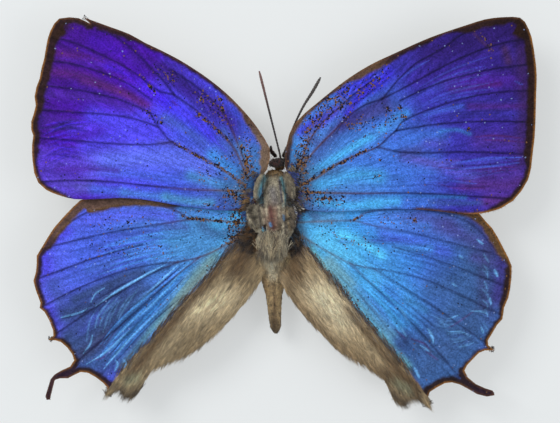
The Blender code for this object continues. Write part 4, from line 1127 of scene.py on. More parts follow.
# Painted shade in the dark folds, here and in the wine line below.
left_hindwing["folds"] += [(NIGHT_BLUE, *row) for row in [
    (0.14, 0.8, [(-18.9, -14.3), (-16.1, -11.5), (-13.5, -9.3), (-10.9, -7)]),
    (0.14, 0.8, [(-20.4, -18.5), (-17.7, -15.7), (-14.3, -12.3), (-10.9, -8.7)]),
    (0.12, 0.8, [(-19.7, -19.5), (-16.9, -16.3), (-14.1, -13.5), (-11.5, -11.3)]),
    (0.14, 0.7, [(-21.6, -11.5), (-18.9, -9.9), (-16.1, -8.5)]),
    (0.12, 0.7, [(-24, -18.1), (-22, -17.1), (-19.7, -15.1), (-18.9, -14.1)]),
    (0.1, 0.6, [(-25.8, -13.7), (-23.4, -13.1), (-22, -12.5)]),
    (0.12, 0.5, [(-16.1, -3.4), (-14.1, -4), (-12.1, -4.1), (-10.1, -3.6)]),
]]
left_hindwing["folds"] += [(WINE, 0.08, 0.6, [(-22, -18.7), (-20.6, -18.3), (-19.5, -17.1)])]
# Families of wrinkles, painted as highlight lines when bright and as shade lines when dark.
left_hindwing["wrinkles"] = [
    (81, AZURE, 0.16, 0.7, 10, [(-10.6, -7), (-15, -10.6), (-19, -14), (-22.4, -18.6)],
     [(-9.4, -8), (-13, -12.2), (-16.6, -16.2), (-19.2, -19.4)]),
    (82, NIGHT_BLUE, 0.12, 0.6, 9, [(-10.6, -7.2), (-15, -10.2), (-19, -13.6), (-23, -18.4)],
     [(-9.8, -8), (-13.4, -12.2), (-17, -16.2), (-19.6, -19.2)]),
    (83, SKY_BRIGHT, 0.14, 0.32, 7, [(-15.4, -9), (-17.4, -11.6), (-19, -14.4)],
     [(-20.4, -11.2), (-22.4, -14), (-22.8, -17)]),
    (84, NIGHT_BLUE, 0.1, 0.5, 8, [(-15, -8.8), (-17.2, -11.6), (-18.8, -14.4)],
     [(-22.4, -10.8), (-24.6, -12.6), (-26.4, -14.6)]),
    (85, NIGHT_BLUE, 0.1, 0.35, 9, [(-12, -3), (-18, -4), (-27, -6)],
     [(-12, -6.3), (-18, -7.4), (-27, -11.2)]),
    (86, SKY, 0.12, 0.3, 7, [(-10, -2.6), (-15, -3.4), (-22, -4.6)],
     [(-9, -5.8), (-15, -6.4), (-22, -8.8)]),
]
left_hindwing["worn"] = [
    (0.95, 0.9, [(-4.2, -1), (-4.8, -2.4), (-4.3, -3.6), (-5.1, -4.2)]),
    (0.52, 0.5, [(-5.5, -5.6), (-6.7, -7)]),
    (0.4, 0.4, [(-7.9, -7.6), (-7.5, -8.1)]),
    (0.16, 0.8, [(-12.1, -0.8), (-10.9, -1.4), (-9.1, -1.7), (-6.5, -1.9)]),
    (0.16, 0.6, [(-10.1, -0.6), (-8.1, -0.9)]),
    (0.92, 0.1, [(-21, -2.6), (-16.1, -1.6)]),
    (1, 0.08, [(-22, -5.2), (-12.1, -5.2)]),
]
left_hindwing["margin"] = [(-24.6, 0), (-28.8, -6.5), (-28.4, -12), (-26.2, -16.5), (-20.4, -21.6)]
dress_wing(left_hindwing)

# %% [markdown]
# The right hindwing is stretched flatter. It is sky blue at the root, steel blue outside, and
# has short glints where its skin wrinkles near the edge.

# %% Right hindwing
right_hindwing = new_wing("right_hindwing", (2.6, -2.4), 0.6)
right_hindwing["ground"] = [
    (2, SKY),
    (9, AZURE),
    (15, CORNFLOWER_DEEP),
    (21, STEEL),
    (26, STEEL),
    (30, BLUE_INDIGO),
]
right_hindwing["borders"] = [
    (0.5, 1, [(16, 0.7), (19, 0.5)]),
    (1, 1.5, [(21.5, 0.2), (24.6, -1)]),
    (1, 1.4, [(26, -2.8), (27.4, -5.2)]),
    (0.85, 1.5, [(28.4, -8.4), (28, -11.4)]),
    (0.5, 1.4, [(27.2, -13.8), (25.6, -16.4)]),
    (0.35, 1, [(24.2, -18), (23, -19.3)]),
    (2.5, 0.8, [(22.9, -20.9), (24.6, -22), (26.2, -22.6)]),
    (0.8, 1, [(21.6, -21.3), (19.8, -21.6), (18.4, -22.6)]),
    (1.1, 0.9, [(18.4, -23.6), (17.6, -23.2)]),
    (0.3, 1.5, [(12, -20.1), (7, -16.9), (2.6, -12.2)]),
]
right_hindwing["border_tones"] = [
    (BARK_LIGHT, 1.6, [(18, 0.6), (24, -0.8), (27.6, -5.6)]),
    (EARTH, 1.4, [(13, -20.9), (7, -16.9), (2.4, -11.8), (1.3, -9)]),
]
right_hindwing["field"] = {
    "left": False,
    "line": [
        (2.2, -3.4), (3.4, -4.9), (5.2, -7.1), (6.8, -9.1), (9, -11.8), (11.4, -14.8),
        (13.8, -17.5), (16, -20), (18, -22.6), (19.4, -24.4),
    ],
    "ground": BEIGE_PALE,
    "strokes": [
        (colour(240, 226, 192), 2, 0.9, [(5.6, -10.6), (8.4, -13.6)]),
        (EARTH, 1.3, 0.9, [(13.6, -20.6), (16.6, -22)]),
        (BARK, 0.35, 0.8, [(6.6, -8.6), (10.4, -13), (15, -19)]),
        (SILK_PALE, 0.8, 0.4, [(8.6, -13.6), (12.4, -18.4)]),
        (EARTH, 1.3, 0.85, [(2.4, -5.2), (2.4, -8.6)]),
        # Painted shade beside the body, over the root of the inner field.
        (NIGHT, 0.8, 0.8, [(2.2, -3.6), (2.9, -5.4)]),
        (EARTH, 0.5, 0.75, [(8.6, -12.4), (11.6, -16.2), (14.6, -19.6), (17, -22.4)]),
        (EARTH, 0.6, 0.5, [(1.6, -10.2), (4.4, -13.8), (8.4, -17.6), (12.2, -19.8)]),
        (LICHEN, 0.6, 0.5, [(14.6, -21.4), (16, -22.2)]),
        (BARK, 0.45, 0.8, [(14.2, -22.8), (15.4, -23.8), (17.4, -23.4)]),
    ],
}
right_hindwing["veins"] = [
    [(2.75, -2.1), (4.8, -2), (7.2, -1.9), (9.5, -1.85)],
    [(9.5, -1.85), (11.15, -0.85), (13.8, -0.5), (16.8, -0.5), (19.8, -0.9), (22.45, -1.75),
     (24.35, -2.9), (26.3, -5.15)],
    [(9.5, -1.85), (12.6, -2.65), (16.2, -3.3), (19.8, -4.2), (24, -5.25), (27.5, -6.2)],
    [(14.15, -5), (17.4, -5.95), (21, -7.15), (24.35, -8.45), (27.95, -9.85)],
    [(2.9, -3.5), (4.1, -4.3), (6.6, -5.75), (9, -7), (10.9, -7.5)],
    [(10.9, -7.5), (14.4, -8.05), (18, -8.95), (21.6, -10.45), (24.6, -12), (27.25, -13.2)],
    [(12, -7.8), (15, -9.6), (18.6, -11.9), (22.2, -14.4), (25.3, -16.55)],
    [(9, -7), (12, -9.85), (15, -12.7), (18, -15.9), (20.4, -18.6), (22.1, -20.65)],
    [(3.5, -4.9), (5.4, -7.2), (8.15, -10.8), (11.15, -14.7), (14.4, -18.5), (17.3, -21.7)],
]
right_hindwing["strokes"] = [
    (PERIWINKLE_DULL, 1.16, 0.85, [(13.1, -2), (16.9, -2), (21.6, -3.3)]),
    (DUSK_BLUE, 1.1, 0.7, [(20.6, -2.4), (22.9, -3.8), (25.9, -5.1)]),
    (SKY_PALE, 0.56, 0.9, [(4.7, -1.3), (7.9, -1.3)]),
    (SKY, 1.2, 0.85, [(5.6, -3.3), (8.4, -4.4), (10.3, -6.1)]),
    (BLUE_INDIGO, 0.24, 0.7, [(7.9, -4.4), (10.5, -4.3), (12.8, -4.3), (14.8, -4.1)]),
    (CORNFLOWER, 0.79, 0.7, [(13.1, -3.6), (16.9, -4.6), (20.6, -5.7)]),
    (DUSK_BLUE, 0.8, 0.7, [(24, -6.3), (27.2, -7.2)]),
    (AZURE, 1.13, 0.6, [(13.1, -6.3), (16.9, -7.2)]),
    (STEEL, 1.59, 0.75, [(18.8, -10.2), (22.5, -9.5), (24.4, -11.7)]),
    (colour(96, 196, 244), 1.5, 0.85, [(5.4, -4.2), (8.2, -6.2), (11.8, -8.8)]),
    (colour(72, 152, 224), 1.8, 0.8, [(12.5, -6.4), (15.4, -10.2), (15.6, -13.6)]),
    (SLATE_VIOLET, 0.8, 0.6, [(26.6, -8.7), (26.8, -10.6), (25.8, -13.6)]),
    (STEEL, 1.5, 0.75, [(19.7, -17), (21.6, -14.1)]),
    (AZURE, 1.13, 0.75, [(9.4, -8), (12, -10.2), (14.6, -13.2)]),
    (SKY, 0.49, 0.6, [(7.9, -7), (10.5, -9.5), (13.1, -12.1), (15, -14.7)]),
    (AQUA, 0.56, 0.92, [(4.3, -5.3), (7.5, -9.1), (10.5, -12.8), (13.1, -16), (15.9, -19.4)]),
    (SEA_GREY, 0.3, 0.7, [(3.8, -5.7), (6.6, -8.3), (9, -11.1)]),
    (STEEL_DARK, 0.56, 0.6, [(16.9, -17), (18.8, -18.8), (17.4, -20.3)]),
    (STEEL, 1, 0.7, [(16, -16.4), (19.5, -18.6)]),
    (colour(124, 176, 190), 0.8, 0.8, [(6.6, -6.8), (9, -9.4)]),
    (TEAL_GREY, 0.9, 0.7, [(7.6, -8.2), (10.8, -12), (14, -15.6)]),
    (STEEL_DARK, 1.3, 0.6, [(24.4, -12.4), (23, -15.4), (19.6, -18)]),
    (colour(60, 50, 124), 1.2, 0.85, [(24, -1.4), (26, -3.4), (27.4, -6.8), (26.7, -11)]),
    (SLATE, 0.6, 0.75, [(3.2, -0.4), (5, -1.4)]),
    (SLATE, 1, 0.6, [(15.6, -16), (14.6, -17.4)]),
    (DUSK_BLUE, 1, 0.5, [(17.4, -1.4), (21, -2.2)]),
    # Painted shade beside the body at the wing root.
    (NIGHT, 0.8, 0.9, [(2, -2.8), (2.4, -4), (3.1, -5.4)]),
    (ROOT_GREY, 0.7, 0.7, [(2.6, -0.6), (3.2, -2.8), (3.8, -4.6)]),
    (colour(84, 128, 172), 0.6, 0.6, [(4.6, -2), (6.8, -1.9)]),
    (colour(94, 204, 254), 0.6, 0.85, [(8, -3.4), (10.2, -4.4), (12.8, -6)]),
    (colour(84, 150, 250), 0.7, 0.85, [(11, -1.9), (14.6, -2.2)]),
    (colour(74, 126, 216), 0.6, 0.7, [(15.4, -2.2), (18.2, -2.6)]),
    (colour(56, 62, 108), 0.9, 0.7, [(25.6, -5.2), (24.9, -9), (25.2, -12)]),
    (colour(72, 142, 214), 0.6, 0.7, [(14.2, -5.3), (18.6, -5.2)]),
    (colour(58, 118, 168), 0.6, 0.6, [(16, -11.4), (18, -12.6)]),
    (colour(80, 176, 238), 0.6, 0.65, [(10.4, -8.4), (12, -9.6)]),
]
# Painted glints along the bright folds.
right_hindwing["folds"] = [(SKY_BRIGHT, *row) for row in [
    (0.15, 0.95, [(26.3, -7.7), (26.8, -8.7)]),
    (0.11, 0.8, [(25.7, -11), (26, -12.1)]),
    (0.11, 0.8, [(24.7, -14.6), (25.1, -15.5)]),
    (0.11, 0.8, [(24.2, -4.1), (25.1, -4.8)]),
    (0.11, 0.6, [(22.1, -6), (22.6, -6.5)]),
    (0.15, 0.8, [(18.3, -14.7), (18.8, -15.6), (19.1, -16.8)]),
    (0.13, 0.7, [(15, -12.3), (15.9, -13.8)]),
    (0.09, 0.6, [(20.8, -13.7), (22.1, -13.2)]),
    (0.11, 0.6, [(21.2, -9.3), (21.8, -9.8)]),
    (0.15, 0.8, [(16.7, -19.4), (17.4, -20.9)]),
    (0.09, 0.6, [(23.3, -12.7), (24.8, -12.8), (25.7, -13.2)]),
    (0.09, 0.5, [(21, -15.2), (22.5, -15.3), (23.6, -15.8)]),
    (0.11, 0.6, [(15, -14.5), (15.8, -15.8)]),
    (0.09, 0.6, [(17.3, -16.8), (18.8, -17.7)]),
]]
# Painted shade in the dark folds.
right_hindwing["folds"] += [(WINE, *row) for row in [
    (0.11, 0.7, [(16.1, -16), (18, -16.7), (18.9, -17.9)]),
    (0.11, 0.6, [(18, -17.5), (19.7, -18.7)]),
    (0.11, 0.6, [(14.4, -14.9), (15.8, -16.2)]),
    (0.11, 0.5, [(20.6, -14.9), (22.1, -14), (24.2, -12.5)]),
]]
# Families of wrinkles, painted as highlight lines when bright and as shade lines when dark.
right_hindwing["wrinkles"] = [
    (91, NIGHT_BLUE, 0.1, 0.45, 12, [(9.4, -7.4), (14, -10.4), (19, -14.4), (22, -18.4)],
     [(6, -7.6), (9.6, -11.8), (13.4, -16.4), (16.4, -20)]),
    (92, SKY, 0.13, 0.4, 9, [(9.4, -7.6), (14, -10.8), (18.4, -15)],
     [(5.6, -7), (9.6, -11.8), (13.6, -16.6)]),
    (93, SKY_BRIGHT, 0.12, 0.3, 9, [(18, -12.4), (19.6, -13.4), (21.2, -13.4)],
     [(21.2, -17.4), (23, -17), (24.2, -16.4)]),
    (94, NIGHT_BLUE, 0.09, 0.45, 9, [(18, -12), (19.8, -13), (21.4, -13)],
     [(21, -17.2), (23, -16.6), (24.4, -16)]),
    (95, SKY_BRIGHT, 0.12, 0.3, 8, [(24.6, -4.6), (25.4, -5.6), (25.8, -6.6)],
     [(24.6, -14.2), (25.4, -15), (25.4, -15.8)]),
    (96, NIGHT_BLUE, 0.1, 0.35, 9, [(12, -3.4), (18, -4.4), (26.4, -6.8)],
     [(13, -7), (19, -8.4), (26.6, -11.8)]),
    (97, NIGHT_BLUE, 0.12, 0.5, 3, [(7, -3.2), (11, -3.6), (16, -4)], [(7, -4.8), (11, -4.6), (17, -5)]),
]
right_hindwing["worn"] = [
    (0.49, 0.45, [(3.9, -5.7), (5.1, -7), (6.2, -8.3)]),
    (0.3, 0.5, [(16.3, -1.6), (16.9, -2)]),
    (0.86, 0.12, [(5.6, -2.9), (11.3, -4.8)]),
    (0.75, 0.12, [(13.1, -1.6), (17.8, -2)]),
    (0.13, 0.8, [(9.2, -1.9), (10.5, -1.3)]),
    (0.56, 0.25, [(7.5, -9.5), (9.8, -12.1), (12, -15.1)]),
    (0.38, 0.6, [(2.6, -3.8), (3.2, -4.8)]),
]
right_hindwing["margin"] = [(22.6, 0.2), (28, -5.6), (28.6, -10.6), (26, -16.6), (19.4, -21.6)]
dress_wing(right_hindwing)

# %% [markdown]
# Everything soft on a butterfly is hair or long scales: the fringe of the wings, the silky
# inner field of the hindwings, and the coat of the body. One hair is modelled by hand as a
# slim three-sided spike, bisected in the middle and swelled there, and then it is copied
# thousands of times, each copy with its own root, aim, length, sag and colour.

# %% One hair
bpy.ops.object.select_all(action="DESELECT")
bpy.ops.mesh.primitive_cone_add(vertices=3, radius1=0.5, radius2=0, depth=1, location=(0, 0, 0.5))
strand = bpy.context.object
strand.name = "strand"
bpy.ops.object.mode_set(mode="EDIT")
bpy.ops.mesh.select_all(action="SELECT")
bpy.ops.mesh.bisect(plane_co=(0, 0, 0.45), plane_no=(0, 0, 1))
bpy.ops.transform.resize(value=(1.55, 1.55, 1), center_override=(0, 0, 0.45))
bpy.ops.mesh.select_all(action="SELECT")
bpy.ops.mesh.quads_convert_to_tris()
bpy.ops.object.mode_set(mode="OBJECT")
STRAND_PLACES = places_of(strand.data) * MM
STRAND_FACES = np.array([list(face.vertices) for face in strand.data.polygons])
bpy.data.objects.remove(strand)
print("a hair has", len(STRAND_FACES), "faces")


def grow(name, roots, aims, lengths, widths, sag, root_paint, tip_paint):
    """Many hairs in one mesh. Sag is how far a tip bends, as a share of the length."""
    count = len(roots)
    aims = aims / np.linalg.norm(aims, axis=1)[:, None]
    across = np.cross(aims, (0.0, 0.0, 1.0))
    across += (np.abs(across).sum(axis=1) < 1e-6)[:, None] * np.array([1.0, 0.0, 0.0])
    across /= np.linalg.norm(across, axis=1)[:, None]
    over = np.cross(across, aims)
    x, y, z = STRAND_PLACES.T
    places = roots[:, None] + aims[:, None] * (lengths[:, None, None] * z[:, None])
    places += across[:, None] * (widths[:, None, None] * x[:, None])
    places += over[:, None] * (widths[:, None, None] * y[:, None])
    places += sag[:, None] * (lengths[:, None, None] * (z**2)[:, None])
    mesh = bpy.data.meshes.new(name)
    hairs = STRAND_FACES[None] + (np.arange(count) * len(STRAND_PLACES))[:, None, None]
    loops = hairs.reshape(-1)
    mesh.vertices.add(count * len(STRAND_PLACES))
    mesh.loops.add(len(loops))
    mesh.polygons.add(len(loops) // 3)
    mesh.vertices.foreach_set("co", (places * MM).reshape(-1))
    mesh.loops.foreach_set("vertex_index", loops.astype(np.int32))
    mesh.polygons.foreach_set("loop_start", np.arange(0, len(loops), 3, dtype=np.int32))
    mesh.update(calc_edges=True)
    share = np.clip(z, 0, 1)[None, :, None]
    paint = root_paint[:, None] + (tip_paint - root_paint)[:, None] * share
    store(mesh, "paint", paint.reshape(-1, 3))
    piece = new_piece(name, mesh)
    bpy.ops.object.shade_smooth()
    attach(piece, "root")
    print(name, "hairs:", count, "triangles:", len(mesh.polygons))
    return piece


# %% Hair material
def hair_material(name, roughness, sheen):
    """Hair in the paint's colour, a little uneven from hair to hair."""
    material, shader, add, place = new_material(name)
    paint = add("ShaderNodeAttribute", attribute_name="paint").outputs["Color"]
    tuft = noise(add, place, 0.5, 3.0)
    fine = noise(add, place, 0.06, 1.0)
    share = counted(add, "MULTIPLY_ADD", tuft.outputs[0], 0.5, 0.75)
    share = counted(add, "MULTIPLY", share, counted(add, "MULTIPLY_ADD", fine.outputs[0], 0.5, 0.75))
    wire(shader, {
        "Base Color": shaded(add, paint, share),
        "Roughness": counted(add, "MULTIPLY_ADD", fine.outputs[0], 0.2, roughness - 0.1),
        "Sheen Weight": sheen,
        "Sheen Roughness": 0.4,
        "Specular IOR Level": 0.3,
    })
    return material


fringe_hair = hair_material("fringe_hair", 0.6, 0.1)
silk_hair = hair_material("silk_hair", 0.5, 0.15)
body_hair = hair_material("body_hair", 0.65, 0.15)
print("hair materials ready")

# %% [markdown]
# The fringe is a dense row of short hairs along the edge of each wing, dark at the root and
# rusty at the tip, and it grows into tufts at the ends of the hindwings. The amber of the tips is
# partly painted glow of light shining through them. A comb of hairs whose roots sit just inside
# the edge gives it, with the length painted along the edge as well.

# %% Fringes
FRINGE_INSET = 0.22
FRINGE_PER_MM = 26
FRINGE_LENGTH = 0.42


def fringe(wing, lengths, tips, seed):
    """Hairs along the whole edge of a wing."""
    rng = np.random.default_rng(seed)
    roots = []
    aims = []
    for a, b, outward in wing["outline"]:
        count = max(1, int(FRINGE_PER_MM * np.hypot(*(b - a))))
        share = rng.random(count)[:, None]
        roots.append(a + (b - a) * share - outward * (FRINGE_INSET * rng.uniform(0.5, 1.2, (count, 1))))
        lean = (b - a) / np.hypot(*(b - a)) * rng.normal(0, 0.3, (count, 1))
        aims.append(outward + lean)
    flat = np.vstack(roots)
    count = len(flat)
    length = np.full(count, FRINGE_LENGTH)
    for value, radius, points in lengths:
        spray(length, flat, value, radius, 1.0, points)
    length *= rng.uniform(0.65, 1.25, count)
    level = wing["level"] + wing_lift(flat) + rng.normal(0, 0.02, count)
    places = np.column_stack([flat, level])
    aim = np.column_stack([np.vstack(aims), rng.normal(0.0, 0.08, count)])
    root_paint = np.array(BARK) * rng.uniform(0.7, 1.4, (count, 1))
    # Tip colours: rusty and amber, partly painted glow of light shining through the thin hairs.
    tip_paint = np.array([tips[i] for i in rng.integers(0, len(tips), count)])
    long_share = np.clip(length / 0.35 - 0.3, 0, 1)[:, None]
    tip_paint = np.array(BARK) + (tip_paint - np.array(BARK)) * long_share
    sag = np.column_stack([rng.normal(0, 0.08, (count, 2)), np.zeros(count)])
    name = wing["node"] + "_fringe"
    widths = rng.uniform(0.05, 0.09, count)
    hairs = grow(name, places, aim, length, widths, sag, root_paint, tip_paint)
    hairs.data.materials.append(fringe_hair)


AMBER = colour(196, 132, 62)
UMBER = colour(120, 76, 34)
fringe(
    left_forewing,
    [(0.12, 0.5, [(-22.2, 21.7), (-22.9, 22.4)]),
     (0.15, 0.8, [(-24, 0.7), (-18, 0.8), (-6, -0.7), (-2.4, 0.3), (-1.6, 3.5)]),
     (0.25, 1, [(-20, 21.4), (-12, 17.6), (-5, 12.6), (-1.2, 7.9), (-0.6, 5.6)])],
    [AMBER, AMBER, RUST], 11,
)
fringe(
    right_forewing,
    [(0.15, 0.8, [(18, -0.6), (6, -0.8), (2.2, 0.6), (1.6, 3.5)]),
     (0.25, 1, [(25, 22.2), (15, 18.5), (6, 13), (1.7, 8.5), (1.2, 5.7)]),
     (0.6, 1, [(28.5, 0.5), (26, -0.8), (23.5, -1.1)])],
    [AMBER, AMBER, UMBER], 12,
)
fringe(
    left_hindwing,
    [(0.2, 1, [(-3, -0.8), (-12, 1.6), (-20, 1.6)]),
     (1.1, 0.7, [(-20.3, -22.4), (-19.6, -22.6)]),
     (1, 0.8, [(-18.4, -22.6), (-17.3, -23.1), (-16.6, -22.6)]),
     (0.75, 0.8, [(-15.6, -21), (-13, -19), (-10, -17.6)]),
     (0.5, 0.5, [(-26.4, -21.4), (-27.4, -23.4)]),
     (0.2, 1.2, [(-5.5, -13.8), (-1.8, -8.6), (-1.9, -4.6), (-2.5, -1.6)])],
    [AMBER, UMBER, RUST, BEIGE], 13,
)
fringe(
    right_hindwing,
    [(0.2, 1, [(3, -0.8), (10, 0.8), (16, 0.8)]),
     (0.5, 1.2, [(28.4, -7.5), (27.4, -13), (25.6, -16.4)]),
     (1, 0.8, [(18.4, -23.9), (17.2, -23.3)]),
     (1.1, 0.8, [(15.9, -23.8), (14.8, -23.9), (13.9, -22.2)]),
     (0.7, 0.8, [(13, -20.8), (10.6, -19.1), (8, -17.6)]),
     (0.2, 1.2, [(5, -14.8), (1.2, -9.6), (1.6, -6.4), (2.5, -2)])],
    [AMBER, UMBER, EARTH, BEIGE], 14,
)

# %% [markdown]
# The inner field of each hindwing carries silk: hairs two millimetres long that lie almost
# flat and run outwards beside the body. They take their colour from the paint under them, each
# a little lighter or darker, and clumps of them share a tone as combed hair does.

# %% Silk of the inner fields
SILK_HAIRS = 12000
SILK_CLUMPS = 500
RIM_HAIRS = 1000


def clumps_of(spots, count, rng):
    """Which one of a number of clumps each hair belongs to: the one with the nearest centre."""
    centres = spots[rng.integers(0, len(spots), count)]
    nearest = np.zeros(len(spots), int)
    for start in range(0, len(spots), 2000):
        part = spots[start:start + 2000]
        nearest[start:start + 2000] = ((part[:, None] - centres[None]) ** 2).sum(axis=2).argmin(axis=1)
    return nearest


def silk(wing, name, aim, seed):
    """Long flat hairs over the inner field of a hindwing."""
    rng = np.random.default_rng(seed)
    places = places_of(wing["sheet"].data)
    field = wing["field"]
    flat_level = wing["level"] + wing_lift(places)
    inside = (places[:, 2] > flat_level) & (side_of(places, field["line"]) != field["left"])
    inside &= places[:, 1] < -4.2
    pool = places[inside]
    picks = pool[rng.integers(0, len(pool), SILK_HAIRS)] + rng.normal(0, 0.06, (SILK_HAIRS, 3))
    line = smooth_line(field["line"])
    line = line[(line[:, 1] < -5.0) & (line[:, 1] > -20.2)]
    picks[:RIM_HAIRS, :2] = line[rng.integers(0, len(line), RIM_HAIRS), :2]
    picks[:RIM_HAIRS, :2] += rng.normal(0, 0.26, (RIM_HAIRS, 2))
    picks[:, 2] = wing["level"] + wing_lift(picks) + rng.uniform(0.04, 0.1, SILK_HAIRS)
    paint = np.tile(field["ground"], (SILK_HAIRS, 1))
    for stroke in field["strokes"]:
        spray(paint, picks, *stroke)
    paint[:RIM_HAIRS] = np.array([BARK, EARTH, EARTH, ROOT_GREY])[rng.integers(0, 4, RIM_HAIRS)]
    across = picks[:, 0] * aim[1] - picks[:, 1] * aim[0]
    down = picks[:, 0] * aim[0] + picks[:, 1] * aim[1]
    clump = clumps_of(np.column_stack([across, down / 3.5]), SILK_CLUMPS, rng)
    tone = rng.uniform(0.7, 1.4, SILK_HAIRS) * rng.uniform(0.76, 1.26, SILK_CLUMPS)[clump]
    paint = np.clip(paint * tone[:, None], 0, 1)
    turn = rng.normal(0, 0.06, SILK_HAIRS) + rng.normal(0, 0.1, SILK_CLUMPS)[clump]
    aims = np.column_stack([
        aim[0] * np.cos(turn) - aim[1] * np.sin(turn),
        aim[0] * np.sin(turn) + aim[1] * np.cos(turn),
        rng.uniform(0.02, 0.12, SILK_HAIRS),
    ])
    lengths = rng.uniform(1.0, 2.3, SILK_HAIRS)
    sag = np.column_stack([rng.normal(0, 0.04, (SILK_HAIRS, 2)), np.full(SILK_HAIRS, -0.03)])
    widths = rng.uniform(0.04, 0.08, SILK_HAIRS)
    # Painted light: the tips are lighter than the roots.
    hairs = grow(name, picks, aims, lengths, widths, sag, paint, np.clip(paint * 1.3, 0, 1))
    hairs.data.materials.append(silk_hair)


silk(left_hindwing, "left_inner_silk", (-0.56, -0.83), 21)
silk(right_hindwing, "right_inner_silk", (0.53, -0.85), 22)

# %% [markdown]
# The thorax is a matted little barrel. Its scale coat is worn: a reddish bald patch shows in
# the middle, blue and turquoise scales cling to its sides, and the rest is greyish beige wool.
# The CAD solid gives the barrel, which a fine remesh rounds and a noise dents. The wool is
# grown on it afterwards, from roots scattered evenly over its faces.

# %% Coat helpers
WOOL = colour(176, 166, 142)
WOOL_PALE = colour(208, 196, 168)
WOOL_DARK = colour(128, 114, 96)
TURQUOISE = colour(98, 172, 188)
SCALE_BLUE = colour(84, 152, 208)
BALD = colour(122, 82, 66)
COLLAR = colour(168, 130, 78)
HEAD_BROWN = colour(64, 44, 36)
HORN_BLACK = colour(38, 28, 28)
HORN_RED = colour(116, 80, 74)


def scattered(mesh, count, rng):
    """Places spread evenly over a mesh in millimetres, with the directions they face."""
    mesh.calc_loop_triangles()
    corners = np.array([triangle.vertices[:] for triangle in mesh.loop_triangles])
    places = places_of(mesh)
    a, b, c = (places[corners[:, i]] for i in range(3))
    cross = np.cross(b - a, c - a)
    area = np.linalg.norm(cross, axis=1)
    picks = rng.choice(len(area), count, p=area / area.sum())
    u = rng.random((count, 1))
    v = rng.random((count, 1))
    over = (u + v) > 1
    u = np.where(over, 1 - u, u)
    v = np.where(over, 1 - v, v)
    spots = a[picks] + u * (b[picks] - a[picks]) + v * (c[picks] - a[picks])
    return spots, cross[picks] / area[picks][:, None]


def rounded(node, name, voxel, smooths):
    """A CAD solid remeshed finely, with its edges rounded off."""
    piece = merged_copy(node, name)
    add_modifier(piece, "REMESH", mode="VOXEL", voxel_size=voxel * MM)
    add_modifier(piece, "SMOOTH", factor=0.6, iterations=smooths)
    only(piece)
    bpy.ops.object.shade_smooth()
    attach(piece, "root")
    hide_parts(node)
    return piece


def dented(piece, size, depth, seed):
    """Small dents and bumps that follow a smooth noise."""
    places = places_of(piece.data)
    normals = np.empty(len(places) * 3)
    piece.data.vertices.foreach_get("normal", normals)
    wave = ripple(places[:, [0, 1]], size, seed) + ripple(places[:, [1, 2]], size * 0.7, seed + 2)
    set_places(piece.data, places + normals.reshape(-1, 3) * (depth * wave / 2)[:, None])


def combing(spread, aside, along, up):
    """A direction to comb in: outwards by place and by side, along the body, and up."""

    def comb(places):
        out = spread * places[:, 0] + aside * np.sign(places[:, 0])
        return np.column_stack([out, np.full(len(places), along), np.full(len(places), up)])

    return comb


def combed(piece, name, count, seed, coat, lengths, lift, spread, widths, comb, keep=None):
    """Hairs over a piece, combed along a direction, in the colours of its coat."""
    rng = np.random.default_rng(seed)
    spots, faces = scattered(piece.data, count, rng)
    if keep is not None:
        stays = rng.random(count) < keep(spots)
        spots = spots[stays]
        faces = faces[stays]
        count = len(spots)
    along = comb(spots)
    along = along - faces * np.sum(along * faces, axis=1)[:, None]
    along /= np.maximum(np.linalg.norm(along, axis=1), 0.15)[:, None]
    aims = along + faces * lift + rng.normal(0, spread, (count, 3))
    clump = clumps_of(spots * (1.0, 0.35, 1.0), max(12, count // 16), rng)
    tone = rng.uniform(0.6, 1.4, count) * rng.uniform(0.4, 1.6, max(12, count // 16))[clump]
    paint = np.clip(coat(spots, faces) * tone[:, None], 0, 1)
    length = rng.uniform(lengths[0], lengths[1], count)
    width = rng.uniform(widths[0], widths[1], count)
    sag = rng.normal(0, 0.08, (count, 3)) - faces * 0.1
    aims[:, 2] = np.where(spots[:, 2] < 0.6, np.maximum(aims[:, 2], 0.05), aims[:, 2])
    spots[:, 2] = np.maximum(spots[:, 2], 0.06)
    # Painted shade and light: the roots darker, the tips lighter, as shade sits among the roots of a
    # coat.
    hairs = grow(name, spots, aims, length, width, sag, paint * 0.55, np.clip(paint * 1.4, 0, 1))
    hairs.data.materials.append(body_hair)
    return hairs


backwards = combing(0.16, 0.0, -1.0, 0.0)
print("coat helpers ready")

